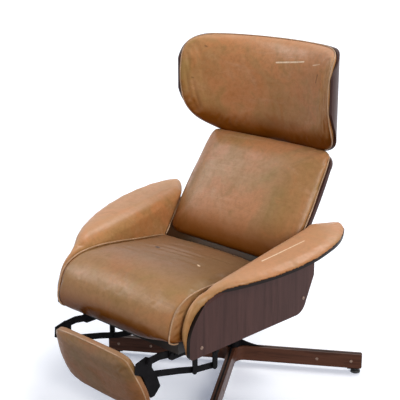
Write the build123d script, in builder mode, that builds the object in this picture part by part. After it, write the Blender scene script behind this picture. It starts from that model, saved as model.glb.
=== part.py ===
from build123d import *
import os
from math import cos, radians, sin, sqrt, tan

# Star base swivel recliner with bent-plywood shells and a swing-out footrest.
# Millimetres. The floor is Z 0, the chair faces -Y and +X is the sitter's left.
# Side profiles are drawn as (distance behind the swivel axis, height).

# ---- driving sizes ----

swivel_y = 120.8          # the swivel axis lies this far behind the middle of the footprint

leg_count = 4
leg_turn = 34.6           # the first leg's angle from +X
leg_reach = 402.0
leg_bottom = 15.0
leg_top = 61.0
strip_t = 8.0             # plywood strip on each side of a leg
core_t = 5.0              # steel between the two strips
strip_bend_r = 37.0
strip_inner_r = strip_bend_r - strip_t
strip_end_r = 6.0
hub_r = 18.0
collar_r = 25.0
collar_top = 84.0
gusset_reach = 112.0
foot_tab_t = 3.0
foot_tab_l = 34.0
foot_tab_w = 20.0
foot_inset = 19.0          # from a leg's end back to its glide's middle
glide_at = leg_reach - foot_inset
glide_r = 15.0
glide_t = 7.0
glide_neck_r = 8.0
glide_stem_r = 4.0
leg_bolt_r = 2.5
leg_bolt_head_r = 4.5
leg_bolt_head_t = 1.2
leg_bolt_stations = (leg_reach - 138, leg_reach - 33)

post_r = 11.0
post_top = 198.0
clip_groove = 2.0         # depth and height of the clip's groove
washer_t = 3.0
sleeve_wall = 6.0
bush_wall = 4.0
bush_h = 28.0
head_plate_z = 205.0
head_plate_t = 6.0
head_plate_size = 170.0
plate_bolt_at = 64.6        # the plate's bolts stand this far to each side

frame_top = 250.0         # the seat frame stands at this height
rail_x = 182.0            # outer face of the side rails
rail_t = 4.0
rail_h = 35.0
rail_front = -450.0
rail_rear = 78.0
beam_w = 30.0
beam_wall = 3.0
beam_at = 62.0            # each cross beam's distance from the swivel axis
frame_bolt_r = 4.0
frame_bolt_head_r = 7.0
frame_bolt_head_t = 3.0

bar_t = 4.0               # thickness of the linkage's flat bars
bar_gap = 0.5             # air between bars that turn on each other
running = 0.05            # radial clearance of a turning pin
hanger_y = (-346.0, -266.0)
hanger_foot_z = (148.0, 137.0)
crank = 50.0              # pin to pin on the hangers and on the footrest bracket
hanger_w = 18.0
push_bar_w = 18.0
footrest_pin_y = -518.0
footrest_pin_z = 236.0
arm_elbow = (-483.0, 239.0)  # bend of the fixed arms that carry the footrest
arm_rear = (-421.0, 230.0)
pin_r = 4.0
pin_head_r = 6.5
pin_head_t = 2.0
arm_bar_w = 20.0

tuck = 20.6               # the resting footrest leans back this far from vertical
pad_edge_y = -561.0       # a point of the footrest's leather edge
pad_edge_z = 220.0
footrest_half_w = 176.0
footrest_up = 38.0        # from that point up to the top edge
footrest_down = 166.0     # and down to the bottom edge
board_t = 8.0
board_back = 14.0         # from the leather edge back to the board's rear face
board_inset = 12.0
pad_crown = 14.0
tab_w = 42.0
tab_t = 3.0

seat_half_w = 236.0
seat_front = -497.0
seat_rear = -70.0
seat_crown = 12.0
seat_bottom = 252.0
box_half_w = 222.0        # wooden seat frame
box_rail = 22.0
box_front = -455.0
box_rear = -75.0
box_top = 304.0
strap_t = 2.0
strap_w = 50.0
strap_count = 5

ply_t = 12.0
panel_x = 278.0           # outer face of the arms' side panels
panel_front = -467.0
panel_rear = 8.0
panel_bottom = 252.0
wing_t = 9.0
wing_half_reach = 402.0   # the wings' widest points
wing_bend_r = 14.0
lining_x = 252.0          # inner face of the arm's upholstery
arm_crown = 14.0
arm_bolt_r = 3.0
arm_bolt_head_r = 5.0
arm_bolt_head_t = 1.5
arm_bolt_z = 278.0
arm_bolt_front = -424.0
arm_bolt_rear = -5.0
arm_bolt_rear_z = 298.0
spacer_r = 9.0

recline = 33.5            # the resting back leans this far from vertical
hinge_y = -40.0
hinge_z = 340.0
back_ref_y = 24.0         # a point of the back shell's front face
back_ref_z = 485.0
back_foot = -138.0        # along the back, from that point to the lower edge
back_head = 243.0         # and to the upper edge
back_half_w = 256.0
back_t = 12.0
back_cushion_foot = -104.0
back_crown = 42.0
bracket_t = 4.0
hinge_eye_r = 15.0
hinge_pin_r = 6.0

head_half_w = 297.5       # the headrest's plan is a half ellipse
head_depth = 145.0
head_rear_y = 206.0
head_foot_z = 684.0
head_top_z = 1002.0
head_shell_t = 8.0
head_pad = 46.0           # thickness of the cushion in the middle
head_pad_end = 30.0       # and at the ends
head_top_r = 36.0
head_foot_r = 90.0

# ---- places worked out from the sizes ----

leg_half_t = core_t / 2 + strip_t
rail_inner = rail_x - rail_t
hanger_x = rail_inner - bar_gap             # outer face of the hangers and footrest arms
bracket_x = hanger_x - bar_t - bar_gap      # outer face of the footrest brackets
push_x = bracket_x - bar_t - bar_gap        # outer face of the push bars
lean = radians(recline)
pad_lean = radians(tuck)


def side_plane(x):
    return Plane(origin=(x, swivel_y, 0), x_dir=(0, 1, 0), z_dir=(1, 0, 0))


def plan_plane(z):
    return Plane(origin=(0, swivel_y, z))


def leg_plane(index):
    # Upright plane through the swivel axis along one leg: (distance out, height).
    turn = radians(leg_turn + index * 360 / leg_count)
    return Plane(origin=(0, swivel_y, 0), x_dir=(cos(turn), sin(turn), 0), z_dir=(sin(turn), -cos(turn), 0))


def back_plane(offset):
    # Parallel to the back shell's front face, offset forwards: (across, up the back).
    front = Vector(0, -cos(lean), sin(lean))
    origin = Vector(0, swivel_y + back_ref_y, back_ref_z) + front * offset
    return Plane(origin=origin, x_dir=(1, 0, 0), z_dir=front)


def pad_plane(offset):
    # Parallel to the footrest's face, offset forwards: (across, up the footrest).
    front = Vector(0, -cos(pad_lean), -sin(pad_lean))
    origin = Vector(0, swivel_y + pad_edge_y, pad_edge_z) + front * offset
    return Plane(origin=origin, x_dir=(1, 0, 0), z_dir=front)


def back_point(up, offset):
    # Side view place of a point of the back, given up its front face and offset forwards.
    return (
        back_ref_y + up * sin(lean) - offset * cos(lean),
        back_ref_z + up * cos(lean) + offset * sin(lean),
    )


def pad_point(up, offset):
    # Side view place of a point of the footrest, given up its face and offset forwards.
    return (
        pad_edge_y - up * sin(pad_lean) - offset * cos(pad_lean),
        pad_edge_z + up * cos(pad_lean) - offset * sin(pad_lean),
    )


def save(builder, name):
    builder.part.label = name
    export_step(builder.part, "parts/" + name + ".step")


def save_mirrored(builder, name):
    with BuildPart() as twin:
        mirror(builder.part, about=Plane.YZ)
    save(twin, name)


def flat_bar(points, width):
    # A flat bar with round ends that follows a line of points.
    with BuildLine() as route:
        Polyline(*points)
    trace(route.line, line_width=width)
    for end in (points[0], points[-1]):
        with Locations(end):
            Circle(width / 2)


def round_bar(x_from, x_to, radius, places):
    # Round bars across the chair, one at each (y, z) place of a side view.
    with BuildSketch(side_plane(x_from)) as ends:
        with Locations(*places):
            Circle(radius)
    extrude(ends.sketch, amount=x_to - x_from)


os.makedirs("parts", exist_ok=True)

# ---- star base ----

foot_bottom = leg_bottom - foot_tab_t

with BuildPart() as base_spider:
    with BuildSketch(plan_plane(leg_bottom)):
        Circle(hub_r)
    extrude(amount=leg_top - leg_bottom)
    with BuildSketch(plan_plane(leg_top)):
        Circle(collar_r)
    extrude(amount=collar_top - leg_top)
    for leg in range(leg_count):
        with BuildSketch(leg_plane(leg)):
            with BuildLine():
                Polyline(
                    (0, collar_top), (0, leg_bottom), (leg_reach - strip_end_r, leg_bottom),
                    (leg_reach - strip_end_r, leg_top), (gusset_reach, leg_top),
                )
                ThreePointArc(
                    (gusset_reach, leg_top),
                    ((gusset_reach + collar_r) / 2, leg_top + (collar_top - leg_top) * 0.22),
                    (collar_r, collar_top - 3),
                )
                Polyline((collar_r, collar_top - 3), (0, collar_top))
            make_face()
        extrude(amount=core_t / 2, both=True)
    with BuildSketch(plan_plane(foot_bottom)):
        with PolarLocations(glide_at - foot_tab_l / 4, leg_count, start_angle=leg_turn):
            Rectangle(foot_tab_l, foot_tab_w)
    extrude(amount=foot_tab_t)
    with BuildSketch(plan_plane(foot_bottom)):
        with PolarLocations(glide_at, leg_count, start_angle=leg_turn):
            Circle(glide_stem_r)
    extrude(amount=foot_tab_t, mode=Mode.SUBTRACT)
    for leg in range(leg_count):
        with BuildSketch(leg_plane(leg)):
            with Locations(*[(r, (leg_bottom + leg_top) / 2) for r in leg_bolt_stations]):
                Circle(leg_bolt_r)
        extrude(amount=core_t, both=True, mode=Mode.SUBTRACT)
    with BuildSketch(plan_plane(0)):
        Circle(post_r)
    extrude(amount=collar_top, mode=Mode.SUBTRACT)
save(base_spider, "base_spider")

# Each strip lies along the left side of one leg and the right side of the next.
for leg in range(leg_count):
    turned = plan_plane(leg_bottom).rotated((0, 0, leg_turn + leg * 360 / leg_count))
    near = core_t / 2
    far = near + strip_t
    with BuildPart() as leg_strip:
        with BuildSketch(turned):
            with BuildLine():
                FilletPolyline((leg_reach, near), (near, near), (near, leg_reach), radius=strip_bend_r)
                FilletPolyline((leg_reach, far), (far, far), (far, leg_reach), radius=strip_inner_r)
                Line((leg_reach, near), (leg_reach, far))
                Line((near, leg_reach), (far, leg_reach))
            make_face()
        extrude(amount=leg_top - leg_bottom)
        end_edges = leg_strip.edges().filter_by(lambda edge: abs(edge.length - strip_t) < 0.01)
        fillet(end_edges, radius=strip_end_r)
        for side in (leg, leg + 1):
            with BuildSketch(leg_plane(side)):
                with Locations(*[(r, (leg_bottom + leg_top) / 2) for r in leg_bolt_stations]):
                    Circle(leg_bolt_r)
            extrude(amount=leg_half_t + 1, both=True, mode=Mode.SUBTRACT)
    save(leg_strip, "leg_strip_" + str(leg + 1))

with BuildPart() as leg_bolts:
    for leg in range(leg_count):
        spots = [(r, (leg_bottom + leg_top) / 2) for r in leg_bolt_stations]
        with BuildSketch(leg_plane(leg)):
            with Locations(*spots):
                Circle(leg_bolt_r)
        extrude(amount=leg_half_t, both=True)
        for side in (1, -1):
            face = leg_plane(leg).offset(side * leg_half_t)
            with BuildSketch(face):
                with Locations(*spots):
                    Circle(leg_bolt_head_r)
            extrude(amount=side * leg_bolt_head_t)
save(leg_bolts, "leg_bolts")

glide_names = ("glide_rear_left", "glide_rear_right", "glide_front_right", "glide_front_left")
for leg, name in enumerate(glide_names):
    turn = radians(leg_turn + leg * 360 / leg_count)
    foot = Plane(origin=(glide_at * cos(turn), swivel_y + glide_at * sin(turn), 0))
    with BuildPart() as glide:
        with BuildSketch(foot):
            Circle(glide_r)
        extrude(amount=glide_t)
        fillet(glide.edges().group_by(Axis.Z)[-1], radius=2.5)
        with BuildSketch(foot.offset(glide_t)):
            Circle(glide_neck_r)
        extrude(amount=foot_bottom - glide_t)
        with BuildSketch(foot.offset(foot_bottom)):
            Circle(glide_stem_r)
        extrude(amount=foot_tab_t)
    save(glide, name)

# ---- swivel ----

sleeve_bottom = collar_top + washer_t
bush_r = post_r + bush_wall
sleeve_r = bush_r + sleeve_wall
upper_bush_z = post_top - bush_h - 8
clip_z = upper_bush_z + bush_h + 0.3

with BuildPart() as swivel_post:
    with BuildSketch(plan_plane(leg_bottom)):
        Circle(post_r)
    extrude(amount=post_top - leg_bottom)
    with BuildSketch(plan_plane(clip_z)):
        Circle(post_r + 1)
        Circle(post_r - clip_groove, mode=Mode.SUBTRACT)
    extrude(amount=clip_groove, mode=Mode.SUBTRACT)
    chamfer(swivel_post.edges().group_by(Axis.Z)[-1], length=1.5)
save(swivel_post, "swivel_post")

with BuildPart() as thrust_washer:
    with BuildSketch(plan_plane(collar_top)):
        Circle(collar_r - 1)
        Circle(post_r + running, mode=Mode.SUBTRACT)
    extrude(amount=washer_t)
save(thrust_washer, "thrust_washer")

with BuildPart() as retaining_clip:
    with BuildSketch(plan_plane(clip_z)):
        Circle(bush_r - 1)
        Circle(post_r - clip_groove, mode=Mode.SUBTRACT)
    extrude(amount=clip_groove)
save(retaining_clip, "retaining_clip")

with BuildPart() as swivel_head:
    with BuildSketch(plan_plane(sleeve_bottom)):
        Circle(sleeve_r)
    extrude(amount=head_plate_z - sleeve_bottom)
    with BuildSketch(plan_plane(head_plate_z)):
        RectangleRounded(head_plate_size, head_plate_size, 12)
    extrude(amount=head_plate_t)
    with BuildSketch(plan_plane(sleeve_bottom)):
        Circle(bush_r)
    extrude(amount=head_plate_z - sleeve_bottom, mode=Mode.SUBTRACT)
    bolt_spots = [(x, y) for x in (-plate_bolt_at, plate_bolt_at) for y in (-beam_at, beam_at)]
    with BuildSketch(plan_plane(head_plate_z)):
        with Locations(*bolt_spots):
            Circle(frame_bolt_r)
    extrude(amount=head_plate_t, mode=Mode.SUBTRACT)
save(swivel_head, "swivel_head")

for name, height in (("lower_bush", sleeve_bottom), ("upper_bush", upper_bush_z)):
    with BuildPart() as bush:
        with BuildSketch(plan_plane(height)):
            Circle(bush_r)
            Circle(post_r + running, mode=Mode.SUBTRACT)
        extrude(amount=bush_h)
    save(bush, name)

# ---- carriage frame ----

beam_bottom = head_plate_z + head_plate_t
beam_h = frame_top - beam_bottom
beam_middle = (beam_bottom + frame_top) / 2
rail_bottom = frame_top - rail_h

for name, place in (("front_cross_beam", -beam_at), ("rear_cross_beam", beam_at)):
    with BuildPart() as cross_beam:
        with BuildSketch(side_plane(-rail_inner)):
            with Locations((place, beam_middle)):
                Rectangle(beam_w, beam_h)
                Rectangle(beam_w - 2 * beam_wall, beam_h - 2 * beam_wall, mode=Mode.SUBTRACT)
        extrude(amount=2 * rail_inner)
        with BuildSketch(plan_plane(beam_bottom)):
            with Locations(*[spot for spot in bolt_spots if spot[1] == place]):
                Circle(frame_bolt_r)
        extrude(amount=beam_wall, mode=Mode.SUBTRACT)
    save(cross_beam, name)

with BuildPart() as plate_bolts:
    with BuildSketch(plan_plane(head_plate_z)):
        with Locations(*bolt_spots):
            Circle(frame_bolt_r)
    extrude(amount=head_plate_t + beam_wall)
    with BuildSketch(plan_plane(head_plate_z - frame_bolt_head_t)):
        with Locations(*bolt_spots):
            RegularPolygon(frame_bolt_head_r, 6)
    extrude(amount=frame_bolt_head_t)
save(plate_bolts, "plate_bolts")

hanger_head_z = [foot + crank for foot in hanger_foot_z]
hanger_pins_at = list(zip(hanger_y, hanger_head_z))
arm_bolts_at = [(arm_rear[0] - 21, arm_rear[1] + 3), (arm_rear[0] - 3, arm_rear[1])]
bracket_bolts_at = [(hinge_y + 5, rail_bottom + 17), (hinge_y + 29, rail_bottom + 17)]

with BuildPart() as side_rail:
    with BuildSketch(side_plane(rail_inner)):
        with BuildLine():
            Polyline(
                (rail_front, frame_top), (rail_front, rail_bottom + 6), (rail_front + 10, rail_bottom),
                (rail_rear, rail_bottom), (rail_rear, frame_top), close=True,
            )
        make_face()
        for place, height in hanger_pins_at:
            with Locations((place, height)):
                Circle(hanger_w / 2 + 2)
            with Locations((place, (height + frame_top) / 2)):
                Rectangle(hanger_w + 4, frame_top - height)
        with Locations(*hanger_pins_at, *arm_bolts_at, *bracket_bolts_at):
            Circle(pin_r, mode=Mode.SUBTRACT)
    extrude(amount=rail_t)
save(side_rail, "side_rail_left")
save_mirrored(side_rail, "side_rail_right")

# The footrest arm is a cranked flat bar, fixed inside the rail and reaching out under the seat.
upper_pin = (footrest_pin_y, footrest_pin_z)
with BuildPart() as footrest_arm:
    with BuildSketch(side_plane(hanger_x - bar_t)):
        flat_bar([arm_rear, arm_elbow, upper_pin], arm_bar_w)
        with Locations(*arm_bolts_at, upper_pin):
            Circle(pin_r, mode=Mode.SUBTRACT)
    extrude(amount=bar_t + bar_gap)
save(footrest_arm, "footrest_arm_left")
save_mirrored(footrest_arm, "footrest_arm_right")

# The hinge bracket stands on the rail's outer face and carries the back's hinge and the arm's rear bolt.
hinge = (hinge_y, hinge_z)
rear_bolt = (arm_bolt_rear, arm_bolt_rear_z)
front_bolt = (arm_bolt_front, arm_bolt_z)
with BuildPart() as hinge_bracket:
    with BuildSketch(side_plane(rail_x)):
        with BuildLine():
            Polyline(
                (hinge_y - 6, rail_bottom + 6), (hinge_y - hinge_eye_r, hinge_z),
                (hinge_y + 8, hinge_z + 10), (arm_bolt_rear + 9, arm_bolt_rear_z + 9), (arm_bolt_rear + 9, arm_bolt_rear_z - 9),
                (hinge_y + 40, rail_bottom + 6), close=True,
            )
        make_face()
        with Locations(hinge):
            Circle(hinge_eye_r)
        with Locations(rear_bolt):
            Circle(hinge_eye_r - 1)
        with Locations(hinge):
            Circle(hinge_pin_r, mode=Mode.SUBTRACT)
        with Locations(rear_bolt):
            Circle(arm_bolt_r, mode=Mode.SUBTRACT)
        with Locations(*bracket_bolts_at):
            Circle(pin_r, mode=Mode.SUBTRACT)
    extrude(amount=bracket_t)
save(hinge_bracket, "hinge_bracket_left")
save_mirrored(hinge_bracket, "hinge_bracket_right")

with BuildPart() as rail_bolts:
    bracket_face = rail_x + bracket_t
    round_bar(hanger_x - bar_t, rail_x, pin_r, arm_bolts_at)
    round_bar(rail_x, rail_x + frame_bolt_head_t, pin_head_r, arm_bolts_at)
    round_bar(rail_inner, bracket_face, pin_r, bracket_bolts_at)
    round_bar(bracket_face, bracket_face + frame_bolt_head_t, pin_head_r, bracket_bolts_at)
    round_bar(rail_inner - frame_bolt_head_t, rail_inner, pin_head_r, bracket_bolts_at)
    mirror(rail_bolts.part, about=Plane.YZ)
save(rail_bolts, "rail_bolts")

with BuildPart() as hanger_pins:
    round_bar(hanger_x - bar_t - 0.3, rail_x, pin_r, hanger_pins_at)
    round_bar(hanger_x - bar_t - 0.3 - pin_head_t, hanger_x - bar_t - 0.3, pin_head_r, hanger_pins_at)
    round_bar(rail_x, rail_x + pin_head_t, pin_head_r, hanger_pins_at)
    mirror(hanger_pins.part, about=Plane.YZ)
save(hanger_pins, "hanger_pins")

with BuildPart() as footrest_pivot_pins:
    round_bar(bracket_x - bar_t + 0.2, rail_inner, pin_r, [upper_pin])
    round_bar(rail_inner, rail_inner + pin_head_t, pin_head_r, [upper_pin])
    mirror(footrest_pivot_pins.part, about=Plane.YZ)
save(footrest_pivot_pins, "footrest_pivot_pins")

# ---- footrest linkage ----

for index, name in enumerate(("front_hanger", "rear_hanger")):
    head = (hanger_y[index], hanger_head_z[index])
    foot = (hanger_y[index], hanger_foot_z[index])
    with BuildPart() as hanger:
        with BuildSketch(side_plane(hanger_x - bar_t)):
            flat_bar([head, foot], hanger_w)
            with Locations(head, foot):
                Circle(pin_r + running, mode=Mode.SUBTRACT)
        extrude(amount=bar_t)
    save(hanger, name + "_left")
    save_mirrored(hanger, name + "_right")

lower_pin = (footrest_pin_y, footrest_pin_z - crank)
push_route = [
    (hanger_y[1], hanger_foot_z[1]), (-330.0, 145.5), (-398.0, 165.0),
    (-488.0, lower_pin[1] + 1), lower_pin,
]
push_pins_at = [(hanger_y[0], hanger_foot_z[0]), (hanger_y[1], hanger_foot_z[1])]

with BuildPart() as push_bar:
    with BuildSketch(side_plane(push_x - bar_t)):
        flat_bar(push_route, push_bar_w)
        with Locations(*push_pins_at, lower_pin):
            Circle(pin_r, mode=Mode.SUBTRACT)
    extrude(amount=bar_t)
save(push_bar, "push_bar_left")
save_mirrored(push_bar, "push_bar_right")

with BuildPart() as push_bar_pins:
    round_bar(push_x - bar_t, hanger_x, pin_r, push_pins_at)
    round_bar(push_x, hanger_x - bar_t - 0.3, pin_head_r, push_pins_at)
    round_bar(push_x - bar_t, bracket_x, pin_r, [lower_pin])
    round_bar(push_x - bar_t - pin_head_t, push_x - bar_t, pin_head_r, push_pins_at + [lower_pin])
    mirror(push_bar_pins.part, about=Plane.YZ)
save(push_bar_pins, "push_bar_pins")

# ---- footrest ----


def footrest_outline(inset):
    # Half-moon outline: flat top edge, small top corners, full sides and a round bottom.
    share = 1 - inset / footrest_half_w
    middle = (footrest_up - footrest_down) / 2

    def spot(across, up):
        return (across * share, middle + (up - middle) * share)

    top = footrest_up
    bottom = -footrest_down
    for way in (1, -1):
        ThreePointArc(spot(0, top), spot(way * 65, top - 1), spot(way * 130, top - 4))
        ThreePointArc(spot(way * 130, top - 4), spot(way * 150, 26), spot(way * 161, 0))
        ThreePointArc(spot(way * 161, 0), spot(way * footrest_half_w, -70), spot(way * 165, -130))
        ThreePointArc(spot(way * 165, -130), spot(way * 142, bottom + 14), spot(way * 105, bottom + 5))
        ThreePointArc(spot(way * 105, bottom + 5), spot(way * 55, bottom + 1), spot(0, bottom))


screw_rows = (-20.0, -80.0)
screw_across = bracket_x - bar_t - tab_w / 2
footrest_screw_r = 2.5

with BuildPart() as footrest_board:
    with BuildSketch(pad_plane(-board_back)):
        with BuildLine():
            footrest_outline(board_inset)
        make_face()
        with Locations(*[(x, row) for x in (-screw_across, screw_across) for row in screw_rows]):
            Circle(footrest_screw_r, mode=Mode.SUBTRACT)
    extrude(amount=board_t)
save(footrest_board, "footrest_board")

with BuildPart() as footrest_pad:
    pad_layers = ((-board_back, 3), (-board_back / 2, 0), (-1, 0), (pad_crown / 2, 14), (pad_crown, 60))
    for offset, inset in pad_layers:
        with BuildSketch(pad_plane(offset)):
            with BuildLine():
                footrest_outline(inset)
            make_face()
    loft()
    with BuildSketch(pad_plane(-board_back)):
        with BuildLine():
            footrest_outline(board_inset)
        make_face()
    extrude(amount=board_t, mode=Mode.SUBTRACT)
save(footrest_pad, "footrest_pad")

with BuildPart() as footrest_bracket:
    with BuildSketch(side_plane(bracket_x - bar_t)):
        with BuildLine():
            Polyline(
                pad_point(19, -8), pad_point(-8, 5), pad_point(-22, -8), pad_point(-30, -board_back),
                pad_point(-106, -board_back), (footrest_pin_y + 21, lower_pin[1] - 59),
                (footrest_pin_y + 43, lower_pin[1] - 37), (footrest_pin_y + 30, lower_pin[1]),
                (footrest_pin_y + 13, footrest_pin_z - 22), (footrest_pin_y + 14, footrest_pin_z + 4),
                (footrest_pin_y - 6, footrest_pin_z + 14), close=True,
            )
        make_face()
        with Locations(upper_pin, lower_pin):
            Circle(pin_r + running, mode=Mode.SUBTRACT)
    extrude(amount=bar_t)
    with BuildSketch(pad_plane(-board_back)):
        with Locations((screw_across, (screw_rows[0] + screw_rows[1]) / 2)):
            Rectangle(tab_w, screw_rows[0] - screw_rows[1] + 26)
        with Locations(*[(screw_across, row) for row in screw_rows]):
            Circle(footrest_screw_r, mode=Mode.SUBTRACT)
    extrude(amount=-tab_t)
save(footrest_bracket, "footrest_bracket_left")
save_mirrored(footrest_bracket, "footrest_bracket_right")

with BuildPart() as footrest_screws:
    screw_spots = [(x, row) for x in (-screw_across, screw_across) for row in screw_rows]
    with BuildSketch(pad_plane(-board_back - tab_t)):
        with Locations(*screw_spots):
            Circle(footrest_screw_r)
    extrude(amount=tab_t + board_t - 1)
    with BuildSketch(pad_plane(-board_back - tab_t)):
        with Locations(*screw_spots):
            Circle(footrest_screw_r * 2)
    extrude(amount=-1.6)
save(footrest_screws, "footrest_screws")

# ---- seat ----

with BuildPart() as seat_frame:
    box_l = box_rear - box_front
    with BuildSketch(plan_plane(frame_top)):
        with Locations((0, (box_front + box_rear) / 2)):
            Rectangle(2 * box_half_w, box_l)
            Rectangle(2 * (box_half_w - box_rail), box_l - 2 * box_rail, mode=Mode.SUBTRACT)
    extrude(amount=box_top - frame_top)
    with BuildSketch(side_plane(-box_half_w)):
        with Locations(front_bolt):
            Circle(arm_bolt_r)
    extrude(amount=2 * box_half_w, mode=Mode.SUBTRACT)
save(seat_frame, "seat_frame")

with BuildPart() as seat_webbing:
    pitch = (box_l - box_rail) / strap_count
    with BuildSketch(plan_plane(box_top)):
        for strap in range(strap_count):
            with Locations((0, box_front + box_rail / 2 + pitch * (strap + 0.5))):
                Rectangle(2 * box_half_w - 16, strap_w)
    extrude(amount=strap_t)
save(seat_webbing, "seat_webbing")

webbing_top = box_top + strap_t


def seat_profile(inset, crown):
    # Waterfall front, gently falling top and an upright back edge.
    front = seat_front + inset
    rise = crown - inset
    Line((seat_rear - inset / 2, seat_bottom + inset), (-468, seat_bottom + inset))
    ThreePointArc((-468, seat_bottom + inset), (front + 9, 274), (front, 302))
    ThreePointArc((front, 302), (front + 13, 362), (-455 + inset / 2, 398 + rise * 0.7))
    ThreePointArc(
        (-455 + inset / 2, 398 + rise * 0.7), (-412 + inset / 2, 416 + rise), (-344, 420 + rise),
    )
    ThreePointArc((-344, 420 + rise), (-192, 406 + rise), (seat_rear - inset / 2, 391 + rise * 0.6))
    Line((seat_rear - inset / 2, 391 + rise * 0.6), (seat_rear - inset / 2, seat_bottom + inset))


with BuildPart() as seat_cushion:
    stations = (
        (-1.0, 10, 0), (-0.97, 3, 2), (-0.86, 0, seat_crown * 0.5), (-0.5, 0, seat_crown),
        (0, 0, seat_crown * 1.1),
    )
    for share, inset, crown in stations + tuple((-s, i, c) for s, i, c in reversed(stations[:-1])):
        with BuildSketch(side_plane(share * seat_half_w)):
            with BuildLine():
                seat_profile(inset, crown)
            make_face()
    loft()
    with BuildSketch(plan_plane(seat_bottom - 20)):
        with Locations((0, (box_front + seat_rear + 40) / 2)):
            Rectangle(2 * box_half_w, seat_rear + 40 - box_front)
    extrude(amount=webbing_top - seat_bottom + 20, mode=Mode.SUBTRACT)
    with BuildSketch(side_plane(-seat_half_w - 10)):
        with Locations(front_bolt):
            Circle(spacer_r)
    extrude(amount=2 * seat_half_w + 20, mode=Mode.SUBTRACT)
save(seat_cushion, "seat_cushion")

# ---- arms ----

wing_front = (-335.0, 438.6)   # the wing's upper face runs straight from here
wing_rear = (100.0, 513.0)     # to here
# Side view of the panel's front edge: it rises, turns back and runs into the wing's upper face.
front_edge = (
    (panel_front, 290.0), (-463.0, 322.0), (-449.0, 351.0), (-430.0, 375.0), (-410.0, 396.0),
    (-390.0, 414.0), (-368.0, 429.5), wing_front,
)


def wing_line(drop):
    # The same line with the wing's upper face, dropped at right angles.
    ways = [Vector(0, 1)]
    ways += [Vector(*b) - Vector(*a) for a, b in zip(front_edge, front_edge[2:])]
    ways.append(Vector(*wing_rear) - Vector(*wing_front))
    ways = [way.normalized() for way in ways]
    spots = [(y + drop * way.Y, z - drop * way.X) for (y, z), way in zip(front_edge, ways)]
    end = (wing_rear[0] + drop * ways[-1].Y, wing_rear[1] - drop * ways[-1].X)
    Spline(*spots, tangents=(ways[0], ways[-1]))
    Line(spots[-1], end)
    return spots[0], end


def edge_height(y):
    # Height of the front edge and the wing at y.
    for (y_a, z_a), (y_b, z_b) in zip(front_edge, front_edge[1:]):
        if y_a <= y <= y_b:
            return z_a + (z_b - z_a) * (y - y_a) / (y_b - y_a)
    return wing_top(y)


def wing_top(y):
    # Height of the wing's straight upper face.
    slope = (wing_rear[1] - wing_front[1]) / (wing_rear[0] - wing_front[0])
    return wing_front[1] + (y - wing_front[0]) * slope


def wing_outline():
    # Plan of the wing: it leaves the panel at the front, is widest by the elbow and ends in a rounded tail.
    inner_x = panel_x - ply_t
    start = panel_front + 21
    Line((inner_x, 30), (inner_x, start))
    ThreePointArc((inner_x, start), (282, -398), (303, -368))
    ThreePointArc((303, -368), (357, -277), (393, -171))
    ThreePointArc((393, -171), (wing_half_reach, -107), (400, -49))
    ThreePointArc((400, -49), (391, 7), (364, 62))
    ThreePointArc((364, 62), (337, 83), (308, 74))
    Line((308, 74), (inner_x, 30))


with BuildPart() as arm_shell:
    with BuildSketch(side_plane(panel_x - ply_t)):
        with BuildLine():
            Line((panel_rear - 48, panel_bottom), (panel_front + 9, panel_bottom))
            Line((panel_front + 9, panel_bottom), (panel_front, panel_bottom + 9))
            Line((panel_front, panel_bottom + 9), front_edge[0])
            wing_line(0)
            Line(wing_rear, (wing_rear[0], 480))
            Line((wing_rear[0], 480), (panel_rear, 284))
            ThreePointArc((panel_rear, 284), (panel_rear - 16, 261), (panel_rear - 48, panel_bottom))
        make_face()
        with Locations(front_bolt, rear_bolt):
            Circle(arm_bolt_r, mode=Mode.SUBTRACT)
    extrude(amount=ply_t)
    with BuildSketch(plan_plane(panel_bottom - 10)):
        with BuildLine():
            wing_outline()
        make_face()
        with Locations((panel_x, (panel_front + panel_rear) / 2)):
            Rectangle(2 * ply_t, panel_rear - panel_front + 4)
    extrude(amount=wing_rear[1], mode=Mode.INTERSECT)
    with BuildPart(mode=Mode.PRIVATE) as wing:
        with BuildSketch(side_plane(panel_x - ply_t)):
            with BuildLine():
                wing_line(0)
                low_front, low_rear = wing_line(wing_t)
                Line(wing_rear, low_rear)
                Line(front_edge[0], low_front)
            make_face()
        extrude(amount=wing_half_reach)
        with BuildSketch(plan_plane(panel_bottom)):
            with BuildLine():
                wing_outline()
            make_face()
        extrude(amount=wing_rear[1], mode=Mode.INTERSECT)
    add(wing.part)
    # The plywood turns from the panel into the wing round a hollow bend.
    bend_front = -392.0
    run = Vector(0, wing_rear[0] - bend_front, wing_rear[1] - wing_top(bend_front))
    corner = (panel_x, swivel_y + bend_front, wing_top(bend_front) - wing_t)
    with BuildPart(mode=Mode.PRIVATE) as bend:
        with BuildSketch(Plane(origin=corner, x_dir=(1, 0, 0), z_dir=-run)):
            with BuildLine():
                Line((0, -wing_bend_r), (-1, -wing_bend_r))
                Line((-1, -wing_bend_r), (-1, 1))
                Line((-1, 1), (wing_bend_r, 1))
                Line((wing_bend_r, 1), (wing_bend_r, 0))
                RadiusArc((wing_bend_r, 0), (0, -wing_bend_r), wing_bend_r)
            make_face()
        extrude(amount=-run.length)
        with BuildSketch(plan_plane(panel_bottom)):
            with BuildLine():
                wing_outline()
            make_face()
        extrude(amount=wing_rear[1], mode=Mode.INTERSECT)
        with BuildSketch(side_plane(panel_x - ply_t)):
            with BuildLine():
                low_front, low_rear = wing_line(1)
                Polyline(low_rear, (low_rear[0], panel_bottom), (low_front[0], panel_bottom), low_front)
            make_face()
        extrude(amount=wing_half_reach, mode=Mode.INTERSECT)
    add(bend.part)
save(arm_shell, "arm_shell_left")
save_mirrored(arm_shell, "arm_shell_right")

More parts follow.
